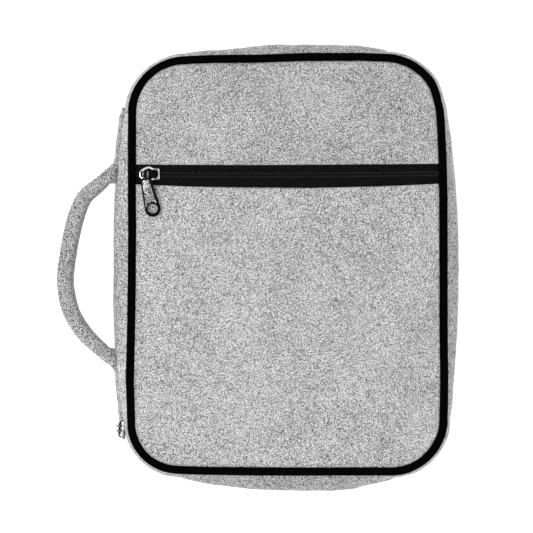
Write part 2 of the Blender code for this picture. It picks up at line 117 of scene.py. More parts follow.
# Sliders and pull tabs, about the hinge line
SLIDER_LENGTH = 12.4 * MM
SLIDER_WIDTH = 9.0 * MM
SLIDER_HEEL = 7.1 * MM
SLIDER_NOSE = 3.0 * MM
SLIDER_PLATE = 1.5 * MM
BRIDGE_LENGTH = 10.4 * MM
BRIDGE_WIDTH = 2.1 * MM
BRIDGE_THICKNESS = 1.0 * MM
EYE_BORE = 1.3 * MM
EYE_RADIUS = 1.9 * MM
BRIDGE_RISE = 2.36 * MM
TAB_LENGTH = 26.5 * MM
TAB_THICKNESS = 1.2 * MM
TAB_LEAN = math.radians(13.2)
EYE_SPAN = 4.0 * MM           # over both of the tab's rings
EYE_SHIFT = -2.3 * MM         # the pocket tab's rings sit near the bridge's far end
SLIDER_SHIFT = -0.6 * MM      # the pocket slider along its zip
MAIN_SHIFT = 2.2 * MM         # the main slider along its zip
MAIN_TILT = math.radians(-8)  # it leans with the curve of the corner

# The handle from its top end down, as shares of the spine's length, the reach and the thickness
Bend = namedtuple("Bend", "along reach body")
HANDLE_COURSE = [
    Bend(1.030, 0.000, 0.21),
    Bend(0.960, 0.000, 0.23),
    Bend(0.900, 0.000, 0.18),
    Bend(0.820, 0.000, 0.18),
    Bend(0.700, 0.000, 0.22),
    Bend(0.645, 0.032, 0.40),
    Bend(0.588, 0.130, 0.70),
    Bend(0.525, 0.350, 0.86),
    Bend(0.460, 0.585, 0.92),
    Bend(0.385, 0.715, 0.97),
    Bend(0.270, 0.825, 1.00),
    Bend(0.120, 0.920, 1.00),
    Bend(-0.060, 1.000, 1.00),
    Bend(-0.180, 0.970, 1.00),
    Bend(-0.270, 0.905, 1.00),
    Bend(-0.350, 0.785, 0.98),
    Bend(-0.430, 0.615, 0.94),
    Bend(-0.500, 0.400, 0.90),
    Bend(-0.560, 0.190, 0.78),
    Bend(-0.615, 0.060, 0.50),
    Bend(-0.680, 0.000, 0.20),
    Bend(-0.820, 0.000, 0.18),
    Bend(-0.900, 0.000, 0.19),
    Bend(-0.945, 0.012, 0.25),
    Bend(-0.992, 0.030, 0.24),
]
HANDLE_REACH = 28.8 * MM
HANDLE_GAP = 0.05 * MM
HANDLE_WIDTH = high("handle").z - low("handle").z


def to_linear(code):
    """sRGB hex to linear colour."""
    values = [int(code[k:k + 2], 16) / 255 for k in (1, 3, 5)]
    return tuple(v / 12.92 if v <= 0.04045 else ((v + 0.055) / 1.055) ** 2.4 for v in values)


class CaseSizes(bpy.types.PropertyGroup):
    """Sizes that can be changed before the pieces are made"""
    cloth_thickness: FloatProperty(
        name="Cloth", description="Thickness of the padded cloth's edge", default=0.75 * MM,
        unit="LENGTH")
    tooth_pitch: FloatProperty(
        name="Coil pitch", description="Distance between the coil's turns on one side",
        default=1.5 * MM, unit="LENGTH")
    stitch_pitch: FloatProperty(
        name="Stitch", description="Length of one stitch with its gap", default=3.2 * MM,
        unit="LENGTH")
    pucker: FloatProperty(
        name="Pucker", description="Depth of the gathers along the seams", default=0.30 * MM,
        unit="LENGTH")
    slack: FloatProperty(
        name="Slack", description="Height of the broad waves in the cloth", default=0.55 * MM,
        unit="LENGTH")
    camera_distance: FloatProperty(
        name="Camera height", description="Height of the camera over the floor", default=3.0,
        unit="LENGTH")
    view_width: FloatProperty(
        name="View width", description="Width seen by the camera at the front panel",
        default=322.5 * MM, unit="LENGTH")


def colour_property(name, description, code):
    return FloatVectorProperty(name=name, description=description, subtype="COLOR", size=3,
                               min=0.0, max=1.0, default=to_linear(code))


class CaseColours(bpy.types.PropertyGroup):
    """Colours of the cloth, trim and metal"""
    yarn_light: colour_property("Light yarn", "Light yarn of the heather cloth", "#F0F0F0")
    yarn_dark: colour_property("Dark yarn", "Dark yarn of the heather cloth", "#303030")
    yarn_middle: colour_property("Mixed yarn", "Crossing of a light and a dark yarn", "#A3A3A3")
    binding: colour_property("Binding", "Tape that binds the panels' edges", "#010101")
    tape: colour_property("Zip tape", "Woven tape of the zips", "#101010")
    coil: colour_property("Coil", "Nylon coil of the zips", "#303030")
    nickel: colour_property("Nickel", "Plating of the sliders and pull tabs", "#F0F0F0")
    # painted shade: the shaded nickel is the same plating as the nickel, darkened to stand for the shade and
    # dark reflections on the slider's plate, its bridge, the tab's rim and its collar
    nickel_in_painted_shade: colour_property("Shaded nickel", "Dark plating of the bridge and the tab's rim", "#141414")
    # painted shade: the grey nickel is the same plating again, half darkened to stand for shade and dark
    # reflections on the tab's rings, its lugs and the slider's flanges
    nickel_in_painted_half_shade: colour_property("Grey nickel", "Plating on the tab's rings and flanges", "#7E7E7E")
    floor: colour_property("Floor", "Floor under the case", "#FAFAFA")


def add_node(tree, kind, values=None, links=None, **settings):
    """Adds a node with its settings, sets its inputs' values and links its inputs."""
    made = tree.nodes.new(kind)
    for name, value in settings.items():
        setattr(made, name, value)
    for name, value in (values or {}).items():
        made.inputs[name].default_value = value
    for name, socket in (links or {}).items():
        tree.links.new(socket, made.inputs[name])
    return made


def new_material(name, colour, **values):
    """A material with its shader's constant inputs set. Returns it with its tree and shader."""
    material = bpy.data.materials.new(name)
    material.use_nodes = True
    tree = material.node_tree
    shader = tree.nodes["Principled BSDF"]
    shader.inputs["Base Color"].default_value = (*colour, 1.0)
    for key, value in values.items():
        shader.inputs[key.replace("_", " ").title().replace("Ior", "IOR")].default_value = value
    return material, tree, shader


def per_metre(millimetres):
    """Scale of a noise whose grains are this far apart."""
    return 1000.0 / millimetres


def heather_cloth(name, contrast=1.0, light=1.0, streak=1.0, grain=1.0):
    """Woven polyester of mixed light and dark yarns: a matt, speckled grey with a soft nap.
    Each crossing of two yarns shows as one fleck, with clumps and clouds of tone over them.
    streak stretches the flecks through the case's depth, the way the yarn of the sides runs,
    and grain is how much coarser they are. light scales the colours of both yarns: below 1 it
    paints shade onto copies of this one cloth, for faces that the lamps light less."""
    colours = bpy.context.scene.case_colours
    material, tree, shader = new_material(name, colours.yarn_light, roughness=0.92,
                                          sheen_weight=0.1, sheen_roughness=0.5, ior=1.5)
    spot = add_node(tree, "ShaderNodeTexCoord").outputs["Object"]
    place = add_node(tree, "ShaderNodeMapping", {"Rotation": (0.5, 0.4, 0.3),
                                               "Scale": (1.0, 1.0, 1.0 / streak)},
                     {"Vector": spot}).outputs["Vector"]
    yarn = add_node(tree, "ShaderNodeTexNoise", {"Scale": per_metre(0.45 * grain), "Detail": 0.0},
                    {"Vector": place})
    fleck = add_node(tree, "ShaderNodeTexVoronoi", {"Scale": per_metre(0.5 * grain)},
                     {"Vector": place})
    clump = add_node(tree, "ShaderNodeTexNoise", {"Scale": per_metre(3.4), "Detail": 2.0},
                     {"Vector": place})
    cloud = add_node(tree, "ShaderNodeTexNoise", {"Scale": per_metre(30.0), "Detail": 2.0},
                     {"Vector": place})
    thread = add_node(tree, "ShaderNodeMapRange", {"From Min": 0.5 - 0.07 / contrast,
                                                   "From Max": 0.5 + 0.07 / contrast,
                                                   "To Min": -0.56, "To Max": 0.56},
                      {"Value": yarn.outputs["Fac"]})
    speck = add_node(tree, "ShaderNodeMath", {1: 1.1}, {0: fleck.outputs["Color"],
                                                        2: thread.outputs["Result"]},
                     operation="MULTIPLY_ADD")
    patch = add_node(tree, "ShaderNodeMapRange", {"From Min": 0.3, "From Max": 0.7,
                                                  "To Min": -0.13, "To Max": 0.13},
                     {"Value": clump.outputs["Fac"]})
    haze = add_node(tree, "ShaderNodeMapRange", {"From Min": 0.3, "From Max": 0.7,
                                                 "To Min": -0.1, "To Max": 0.1},
                    {"Value": cloud.outputs["Fac"]})
    both = add_node(tree, "ShaderNodeMath", None, {0: speck.outputs[0],
                                                   1: patch.outputs["Result"]}, operation="ADD")
    share = add_node(tree, "ShaderNodeMath", None, {0: both.outputs[0], 1: haze.outputs["Result"]},
                     operation="ADD", use_clamp=True)
    ramp = add_node(tree, "ShaderNodeValToRGB", None, {"Fac": share.outputs[0]})
    # painted shade: light darkens both ends of the ramp for the shaded copies of this cloth
    ramp.color_ramp.elements[0].color = (*[c * light for c in colours.yarn_dark], 1.0)
    ramp.color_ramp.elements[1].color = (*[c * light for c in colours.yarn_light], 1.0)
    middle = ramp.color_ramp.elements.new(0.44)
    middle.color = (*[c * light for c in colours.yarn_middle], 1.0)
    tree.links.new(ramp.outputs["Color"], shader.inputs["Base Color"])
    weave = add_node(tree, "ShaderNodeTexNoise", {"Scale": per_metre(0.55), "Detail": 1.0},
                     {"Vector": place})
    nap = add_node(tree, "ShaderNodeMath", {1: 0.8}, {0: share.outputs[0],
                                                      2: weave.outputs["Fac"]},
                   operation="MULTIPLY_ADD")
    bump = add_node(tree, "ShaderNodeBump", {"Strength": 0.35, "Distance": 0.15 * MM},
                    {"Height": nap.outputs[0]})
    tree.links.new(bump.outputs["Normal"], shader.inputs["Normal"])
    return material


def ribbed_tape(name, colour, rib, roughness, direction="DIAGONAL"):
    """Woven polyester tape, black and matt, with fine ribs of the given pitch in millimetres."""
    material, tree, shader = new_material(name, colour, roughness=roughness, ior=1.5,
                                          specular_ior_level=0.04)
    place = add_node(tree, "ShaderNodeTexCoord").outputs["Object"]
    ribs = add_node(tree, "ShaderNodeTexWave", {"Scale": per_metre(rib) * math.tau / 10,
                                                "Distortion": 0.6}, {"Vector": place},
                    wave_type="BANDS", bands_direction=direction)
    grain = add_node(tree, "ShaderNodeTexNoise", {"Scale": per_metre(0.8), "Detail": 1.0},
                     {"Vector": place})
    tone = add_node(tree, "ShaderNodeValToRGB", None, {"Fac": grain.outputs["Fac"]})
    tone.color_ramp.elements[0].position = 0.3
    tone.color_ramp.elements[1].position = 0.75
    tone.color_ramp.elements[0].color = (*[c * 0.2 for c in colour], 1.0)
    tone.color_ramp.elements[1].color = (*[c * 2.2 for c in colour], 1.0)
    tree.links.new(tone.outputs["Color"], shader.inputs["Base Color"])
    both = add_node(tree, "ShaderNodeMath", {1: 0.7}, {0: ribs.outputs["Fac"],
                                                       2: grain.outputs["Fac"]},
                    operation="MULTIPLY_ADD")
    bump = add_node(tree, "ShaderNodeBump", {"Strength": 0.5, "Distance": 0.1 * MM},
                    {"Height": both.outputs[0]})
    tree.links.new(bump.outputs["Normal"], shader.inputs["Normal"])
    return material


def nylon_coil(name):
    """Black nylon monofilament, drawn smooth: a dull plastic gleam on the top of each turn."""
    colours = bpy.context.scene.case_colours
    material, tree, shader = new_material(name, colours.coil, roughness=0.3, ior=1.53,
                                          specular_ior_level=0.8)
    place = add_node(tree, "ShaderNodeTexCoord").outputs["Object"]
    wear = add_node(tree, "ShaderNodeTexNoise", {"Scale": per_metre(2.0)}, {"Vector": place})
    dull = add_node(tree, "ShaderNodeMapRange", {"To Min": 0.2, "To Max": 0.4},
                    {"Value": wear.outputs["Fac"]})
    tree.links.new(dull.outputs["Result"], shader.inputs["Roughness"])
    return material


def plated_metal(name, colour, roughness, grit=0.0, depth=0.0):
    """Die-cast zinc with bright nickel plating. grit, in millimetres, gives the pebbled relief
    that is cast into the tab's face, and paints shade over it: the colour drops to 0.7 on the
    bumps and to near black in the pits, painted shade in the hollows. Without grit the surface
    has only faint polishing waves."""
    material, tree, shader = new_material(name, colour, roughness=roughness, metallic=1.0)
    place = add_node(tree, "ShaderNodeTexCoord").outputs["Object"]
    if grit:
        relief = add_node(tree, "ShaderNodeTexVoronoi", {"Scale": per_metre(grit),
                                                         "Randomness": 0.9}, {"Vector": place})
        height = relief.outputs["Distance"]
        # painted shade: darker towards the pits of the relief
        shade = add_node(tree, "ShaderNodeValToRGB", None, {"Fac": height})
        shade.color_ramp.elements[0].color = (*[c * 0.7 for c in colour], 1.0)
        shade.color_ramp.elements[0].position = 0.3
        shade.color_ramp.elements[1].color = (*[c * 0.08 for c in colour], 1.0)
        shade.color_ramp.elements[1].position = 0.62
        tree.links.new(shade.outputs["Color"], shader.inputs["Base Color"])
    else:
        relief = add_node(tree, "ShaderNodeTexNoise", {"Scale": per_metre(3.0), "Detail": 2.0},
                          {"Vector": place})
        height = relief.outputs["Fac"]
        depth = 0.02 * MM
    bump = add_node(tree, "ShaderNodeBump", {"Strength": 0.6, "Distance": depth},
                    {"Height": height}, invert=bool(grit))
    tree.links.new(bump.outputs["Normal"], shader.inputs["Normal"])
    return material


def opal_acrylic_painted_glow(name):
    """Opal acrylic that glows by emission with no lamp under it: painted light that keeps the
    floor white, washes out the case's shadows and lights the case from below. White and matt,
    as on a product table, and nearly shadowless.
    """
    colours = bpy.context.scene.case_colours
    # painted light: the emission makes the floor glow though no lamp lights it
    material, tree, shader = new_material(name, colours.floor, roughness=1.0,
                                          specular_ior_level=0.0, emission_strength=0.56,
                                          emission_color=(1.0, 1.0, 1.0, 1.0))
    place = add_node(tree, "ShaderNodeTexCoord").outputs["Object"]
    fibre = add_node(tree, "ShaderNodeTexNoise", {"Scale": per_metre(60.0)}, {"Vector": place})
    tone = add_node(tree, "ShaderNodeValToRGB", None, {"Fac": fibre.outputs["Fac"]})
    tone.color_ramp.elements[0].color = (*[c * 0.99 for c in colours.floor], 1.0)
    tone.color_ramp.elements[1].color = (*colours.floor, 1.0)
    tree.links.new(tone.outputs["Color"], shader.inputs["Base Color"])
    return material


MATERIALS = {
    "front_cloth": lambda n: heather_cloth(n, contrast=1.1),
    # Painted light: these copies of one heather cloth differ in light for how the lamps fall on them. The
    # upper pocket panel, the gusset strips and the handle are darkened as painted shade, and the spine is kept
    # lighter than the gussets as painted light where the key lamp falls on it.
    "upper_cloth_painted_shade": lambda n: heather_cloth(n, contrast=1.3, light=0.93),
    "gusset_cloth": lambda n: heather_cloth(n, contrast=1.5, light=0.76, streak=2.2,
                                            grain=1.12),
    "spine_cloth": lambda n: heather_cloth(n, contrast=1.5, light=0.98, streak=2.0,
                                           grain=1.1),
    "handle_cloth_painted_shade": lambda n: heather_cloth(n, contrast=1.6, light=0.78, streak=1.5,
                                            grain=1.1),
    "grey_thread": lambda n: heather_cloth(n, contrast=0.6, light=1.0),
    "grosgrain_binding": lambda n: ribbed_tape(n, bpy.context.scene.case_colours.binding, 0.8, 0.85),
    "woven_zip_tape": lambda n: ribbed_tape(n, bpy.context.scene.case_colours.tape, 0.6, 0.8),
    "nylon_coil": nylon_coil,
    # The plated nickel is the plating's own colour; the shaded, grey and pebbled copies below are the same
    # plating darkened, painted shade and dark reflections.
    "plated_nickel": lambda n: plated_metal(n, bpy.context.scene.case_colours.nickel, 0.22),
    "shaded_nickel": lambda n: plated_metal(n, bpy.context.scene.case_colours.nickel_in_painted_shade, 0.3),
    "pebbled_nickel": lambda n: plated_metal(n, bpy.context.scene.case_colours.nickel, 0.35,
                                             grit=0.9, depth=0.15 * MM),
    "black_cord": lambda n: ribbed_tape(n, bpy.context.scene.case_colours.binding, 0.5, 0.9),
    "nickel_in_painted_half_shade": lambda n: plated_metal(n, bpy.context.scene.case_colours.nickel_in_painted_half_shade, 0.3),
    "opal_acrylic_painted_glow": opal_acrylic_painted_glow,
}


def material(name):
    return bpy.data.materials.get(name) or MATERIALS[name](name)


def finish_mesh(name, bm, finish, smooth=50, body="case", replaces=()):
    """Turns a bmesh into a piece: normals out, smooth, with its material, slot and body."""
    bmesh.ops.recalc_face_normals(bm, faces=bm.faces)
    if bm.calc_volume(signed=True) < 0:
        bmesh.ops.reverse_faces(bm, faces=bm.faces)
    mesh = bpy.data.meshes.new(name)
    bm.to_mesh(mesh)
    bm.free()
    mesh.shade_smooth()
    mesh.set_sharp_from_angle(angle=math.radians(smooth))
    mesh.materials.append(material(finish))
    obj = bpy.data.objects.new(name, mesh)
    bpy.context.scene.collection.objects.link(obj)
    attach(obj, body)
    if replaces:
        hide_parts(*replaces)
    return obj


def grid_bmesh(points, wrap_across=True, wrap_along=False, capped=True):
    """A mesh through an array of points, shaped (loops, points in a loop, 3)."""
    count, across = points.shape[:2]
    bm = bmesh.new()
    verts = [bm.verts.new(p) for p in points.reshape(-1, 3)]
    for i in range(count if wrap_along else count - 1):
        j = (i + 1) % count
        for k in range(across if wrap_across else across - 1):
            n = (k + 1) % across
            bm.faces.new((verts[i * across + k], verts[i * across + n],
                          verts[j * across + n], verts[j * across + k]))
    if capped and wrap_across and not wrap_along:
        bm.faces.new(verts[:across])
        bm.faces.new(verts[-across:])
    return bm


def strayed(table, places):
    return np.interp(places, np.array(table[0]) * MM, np.array(table[1]) * MM)


def spread_between(places, wanted, values):
    """Values at the wanted places along the first axis, from those at the given places."""
    after = np.searchsorted(places, wanted, side="right").clip(1, len(places) - 1)
    before = after - 1
    share = ((wanted - places[before]) / (places[after] - places[before])).clip(0, 1)
    share = share.reshape((-1,) + (1,) * (values.ndim - 1))
    return values[before] * (1 - share) + values[after] * share


def swollen(points, pinned, pick_loops, pick_across, wrap=False, pressure=4.0, slack=0.02,
            cap=1.5 * MM):
    """How far each point of a padded cloth moves when it swells between its seams, from a cloth
    simulation on some of its loops. pinned marks the points that the seams hold, and no point
    moves further than the cap."""
    coarse = points[np.ix_(pick_loops, pick_across)]
    held = pinned[np.ix_(pick_loops, pick_across)]
    mesh = bpy.data.meshes.new("swelling_cloth")
    bm = grid_bmesh(coarse, wrap_across=wrap, capped=False)
    bm.to_mesh(mesh)
    bm.free()
    obj = bpy.data.objects.new("swelling_cloth", mesh)
    scene = bpy.context.scene
    scene.collection.objects.link(obj)
    seams = obj.vertex_groups.new(name="seams")
    seams.add(np.flatnonzero(held.ravel()).tolist(), 1.0, "REPLACE")
    cloth = obj.modifiers.new("Cloth", "CLOTH")
    cloth.settings.vertex_group_mass = "seams"
    cloth.settings.use_pressure = True
    cloth.settings.uniform_pressure_force = pressure
    cloth.settings.shrink_min = -slack
    cloth.settings.effector_weights.gravity = 0.0
    cloth.point_cache.frame_end = 20
    for number in range(1, 21):
        scene.frame_set(number)
    made = obj.evaluated_get(bpy.context.evaluated_depsgraph_get()).to_mesh()
    values = np.empty(len(made.vertices) * 3)
    made.vertices.foreach_get("co", values)
    moved = values.reshape(coarse.shape) - coarse
    bpy.data.objects.remove(obj)
    bpy.data.meshes.remove(mesh)
    scene.frame_set(1)
    moved *= min(1.0, cap / np.linalg.norm(moved, axis=2).max())
    for _ in range(2):
        inside = moved[1:-1] * 0.5 + (moved[:-2] + moved[2:]) * 0.25
        moved[1:-1] = inside
    loops = spread_between(np.array(pick_loops), np.arange(points.shape[0]), moved)
    across = np.array(pick_across)
    return spread_between(across, np.arange(points.shape[1]), loops.swapaxes(0, 1)).swapaxes(0, 1)


def every(count, step):
    """Every so many-th index up to the last one, which is always there."""
    return sorted(set(range(0, count, step)) | {count - 1})


def bowed(points):
    """Moves points with the bow and the strays of the outline. Past the panels' edges the
    strays fade out."""
    x, y = points[..., 0], points[..., 1]
    across = x / HALF_WIDTH
    along = y / HALF_HEIGHT
    side = np.where(x < 0, strayed(STRAY_LEFT, y), strayed(STRAY_RIGHT, y))
    end = np.where(y < 0, strayed(STRAY_BOTTOM, x), strayed(STRAY_TOP, x))
    over = (1 - (np.abs(x) - HALF_WIDTH).clip(0) / (8 * MM)).clip(0)
    beyond = (1 - (np.abs(y) - HALF_HEIGHT).clip(0) / (8 * MM)).clip(0)
    moved = points.copy()
    moved[..., 0] += across * SIDE_BOW * (1 - along ** 2) + np.abs(across).clip(0, 1) ** 2 * side * over
    moved[..., 1] += along * END_BOW * (1 - across ** 2) + np.abs(along).clip(0, 1) ** 2 * end * beyond
    return moved


def waves(points, seed):
    """Smooth noise from -1 to 1 at each point, whose last axis holds its place in waves."""
    flat = points.reshape(-1, 3)
    shift = Vector((seed * 7.13, seed * 3.71, seed * 5.37))
    values = [noise.noise(Vector(p) + shift) for p in flat]
    return np.array(values).reshape(points.shape[:-1])


def swelling(u, reach, flatness=2.0):
    return CORNER_SWELL + (reach - CORNER_SWELL) * (1 - np.abs(u) ** flatness)


def hump(x, middle, spread):
    """A soft hump of height 1 about a place in millimetres."""
    return np.exp(-((x / MM - middle) / spread) ** 2)


def side_run(start, end, normal, reach, step, flatness=2.0):
    """Stations along a straight side, as rows of x, y, normal x, normal y and swell."""
    start, end = np.array(start), np.array(end)
    count = max(2, round(np.linalg.norm(end - start) / step))
    u = np.linspace(-1, 1, count + 1)
    spots = start + (end - start) * ((u + 1) / 2)[:, None]
    return np.column_stack([spots, np.tile(normal, (len(u), 1)), swelling(u, reach, flatness)])


def corner_run(centre, radius, start_degrees, step):
    count = max(4, round(radius * math.pi / 2 / step))
    angles = np.radians(start_degrees - 90 * np.arange(1, count) / count)
    normals = np.column_stack([np.cos(angles), np.sin(angles)])
    return np.column_stack([np.array(centre) + normals * radius, normals,
                            np.full(len(angles), CORNER_SWELL)])


SPINE_TOP = HALF_HEIGHT - TOP_LEFT_RADIUS
SPINE_FOOT = -HALF_HEIGHT + BOTTOM_LEFT_RADIUS


def spine_run(step, trim=0.0):
    return side_run((-HALF_WIDTH, SPINE_FOOT + trim), (-HALF_WIDTH, SPINE_TOP - trim), (-1, 0),
                    LEFT_SWELL, step, SPINE_FLATNESS)


def zip_run(step):
    """Stations round the top, right and bottom, from the spine's top end to its foot."""
    w, h = HALF_WIDTH, HALF_HEIGHT
    tl, tr, br, bl = TOP_LEFT_RADIUS, TOP_RIGHT_RADIUS, BOTTOM_RIGHT_RADIUS, BOTTOM_LEFT_RADIUS
    top = side_run((-w + tl, h), (w - tr, h), (0, 1), TOP_SWELL, step)
    top[:, 4] += (1.4 * hump(top[:, 0], 46, 28) - 1.1 * hump(top[:, 0], -36, 24)) * MM
    bottom = side_run((w - br, -h), (-w + bl, -h), (0, -1), BOTTOM_SWELL, step)
    bottom[:, 4] += 2.8 * hump(bottom[:, 0], 42, 26) * MM
    return np.vstack([
        [(-w, h - tl, -1, 0, CORNER_SWELL)],
        corner_run((-w + tl, h - tl), tl, 180, step),
        top,
        corner_run((w - tr, h - tr), tr, 90, step),
        side_run((w, h - tr), (w, -h + br), (1, 0), RIGHT_SWELL, step),
        corner_run((w - br, -h + br), br, 0, step),
        bottom,
        corner_run((-w + bl, -h + bl), bl, -90, step),
        [(-w, -h + bl, -1, 0, CORNER_SWELL)],
    ])


def ring_run(step):
    return np.vstack([zip_run(step), spine_run(step)[1:-1]])


def arc_lengths(run):
    steps = np.linalg.norm(np.diff(run[:, :2], axis=0), axis=1)
    return np.concatenate([[0.0], np.cumsum(steps)])


def placed(run, offsets, heights):
    """Points at offsets out from the run's stations and at heights, both (stations, n)."""
    x = run[:, 0:1] + run[:, 2:3] * offsets
    y = run[:, 1:2] + run[:, 3:4] * offsets
    return bowed(np.stack([x, y, np.broadcast_to(heights, x.shape)], -1))


def round_bulge(share):
    return np.sin(np.pi * share ** 1.357)


def flat_bulge(share):
    return 1 - np.abs(2 * share - 1) ** 3.2


def gusset_offsets(run, heights, bulge):
    share = ((heights - GUSSET_FOOT) / GUSSET_DEPTH).clip(0, 1)
    return run[:, 4:5] * bulge(share)[None, :] - SEAM_INSET


def rolled(distance, radius):
    """How far a rounded edge of that radius drops at a distance from its end."""
    inside = (1 - distance / radius).clip(0, 1)
    return radius * (1 - np.sqrt(1 - inside ** 2))


def strip_heights(foot, top, count):
    """Heights across a strip, closer together at both edges."""
    share = 0.5 - 0.5 * np.cos(np.linspace(0, math.pi, count))
    share = 0.55 * share + 0.45 * np.linspace(0, 1, count)
    return foot + (top - foot) * share


def gusset_cloth(name, node, run, foot, top, bulge, seams, hems, seed, finish="gusset_cloth"):
    """A strip of the gusset. seams are heights where it is sewn under a binding, and hems the
    heights of its folded edges along the zip."""
    sizes = bpy.context.scene.case_sizes
    heights = strip_heights(foot, top, 34)
    arcs = arc_lengths(run)
    offsets = gusset_offsets(run, heights, bulge)
    grid = np.stack(np.broadcast_arrays(arcs[:, None] / (9 * MM), heights[None, :] / (26 * MM), 0.0), -1)
    near_seam = sum(np.exp(-np.abs(heights - s) / (6 * MM)) for s in seams)
    tight = 1 + 1.0 * np.exp(-((run[:, 4] - CORNER_SWELL) / (1.2 * MM)) ** 2)
    offsets = offsets + sizes.pucker * near_seam[None, :] * tight[:, None] * waves(grid, seed)
    wide = np.stack(np.broadcast_arrays(arcs[:, None] / (48 * MM), heights[None, :] / (20 * MM), 0.0), -1)
    middle = np.sin(np.pi * (heights - foot) / (top - foot))
    offsets = offsets + sizes.slack * middle[None, :] * waves(wide, seed + 1)
    for hem in hems:
        offsets = offsets - rolled(np.abs(heights - hem), sizes.cloth_thickness * 1.2)[None, :]
    inner = offsets - sizes.cloth_thickness
    for hem in hems:
        inner = inner - 0.2 * MM * np.exp(-np.abs(heights - hem) / (1 * MM))[None, :]
    outer_points = placed(run, offsets, heights)
    inner_points = placed(run, inner, heights)
    pinned = np.zeros(offsets.shape, bool)
    pinned[:, [0, -1]] = True
    pinned[[0, -1]] = True
    puff = swollen(outer_points, pinned, every(len(run), 1), every(len(heights), 3), cap=1.0 * MM)
    bm = grid_bmesh(np.concatenate([outer_points + puff, (inner_points + puff)[:, ::-1]], 1))
    obj = finish_mesh(name, bm, finish, replaces=(node,))
    return obj


def edge_x(y, inset, side):
    """x of the panel's left (-1) or right (1) edge at the heights y."""
    top, foot = ((TOP_LEFT_RADIUS, BOTTOM_LEFT_RADIUS) if side < 0
                 else (TOP_RIGHT_RADIUS, BOTTOM_RIGHT_RADIUS))
    beyond_top = (y - (HALF_HEIGHT - top)).clip(0)
    beyond_foot = (-(HALF_HEIGHT - foot) - y).clip(0)
    radius = np.where(beyond_foot > 0, foot, top)
    beyond = beyond_top + beyond_foot
    reach = np.sqrt(((radius - inset) ** 2 - beyond ** 2).clip(0))
    curved = HALF_WIDTH - radius + reach
    return side * np.where(beyond > 0, curved, HALF_WIDTH - inset)


def seam_distance(x, y, inset):
    """How far a point lies inside the edge of a panel."""
    distance = np.minimum(HALF_WIDTH - inset - np.abs(x), HALF_HEIGHT - inset - np.abs(y))
    for sx, sy, radius in ((-1, 1, TOP_LEFT_RADIUS), (1, 1, TOP_RIGHT_RADIUS),
                           (1, -1, BOTTOM_RIGHT_RADIUS), (-1, -1, BOTTOM_LEFT_RADIUS)):
        dx = sx * x - (HALF_WIDTH - radius)
        dy = sy * y - (HALF_HEIGHT - radius)
        corner = (dx > 0) & (dy > 0)
        distance = np.where(corner, radius - inset - np.hypot(dx, dy), distance)
    return distance.clip(0)


def panel_rows(foot, top, inset, pitch):
    """Heights of a panel's rows, closer together round its corners and at its edges."""
    radius_top = max(TOP_LEFT_RADIUS, TOP_RIGHT_RADIUS)
    radius_foot = max(BOTTOM_LEFT_RADIUS, BOTTOM_RIGHT_RADIUS)
    rise = np.sin(np.linspace(0, math.pi / 2, 30))
    rows = np.concatenate([
        HALF_HEIGHT - radius_top + rise * (radius_top - inset),
        radius_foot - HALF_HEIGHT - rise * (radius_foot - inset),
        np.arange(radius_foot - HALF_HEIGHT, HALF_HEIGHT - radius_top, pitch)[1:],
        foot + np.array([0.0, 0.15, 0.35, 0.6, 0.9, 1.4]) * MM,
        top - np.array([0.0, 0.15, 0.35, 0.6, 0.9, 1.4]) * MM,
    ])
    rows = np.unique(rows[(rows >= foot) & (rows <= top)].round(6))
    keep = np.concatenate([[True], np.diff(rows) > 0.05 * MM])
    keep[-1] = True
    return rows[keep]


def crown(x, y, height=FRONT_CROWN, inset=4.9 * MM):
    across = (np.abs(x) / (HALF_WIDTH - inset)).clip(0, 1)
    along = (np.abs(y) / (HALF_HEIGHT - inset)).clip(0, 1)
    return height * (1 - across ** 3) * (1 - along ** 3)


def sagged(x, y):
    """Height on the front after the pocket zip's sag."""
    fade = (1 - np.abs(y - POCKET_ZIP_HEIGHT) / SAG_REACH).clip(0)
    below = ((POCKET_ZIP_HEIGHT - y) / (POCKET_BAND / 2)).clip(0, 1)
    sag = POCKET_ZIP_SAG + POCKET_LIP_SAG * below
    return y - sag * fade * (1 - (x / HALF_WIDTH) ** 2)


def seam_arc(x, y):
    """Running length along the outline at the point of it nearest each given point."""
    run = ring_run(2 * MM)
    arcs = arc_lengths(run)
    flat = np.column_stack([x.ravel(), y.ravel()])
    found = np.empty(len(flat))
    for first in range(0, len(flat), 4000):
        part = flat[first:first + 4000]
        nearest = ((part[:, None] - run[None, :, :2]) ** 2).sum(2).argmin(1)
        base = run[nearest]
        found[first:first + 4000] = arcs[nearest] + ((part - base[:, :2]) * np.column_stack(
            [base[:, 3], -base[:, 2]])).sum(1)
    return found.reshape(x.shape)


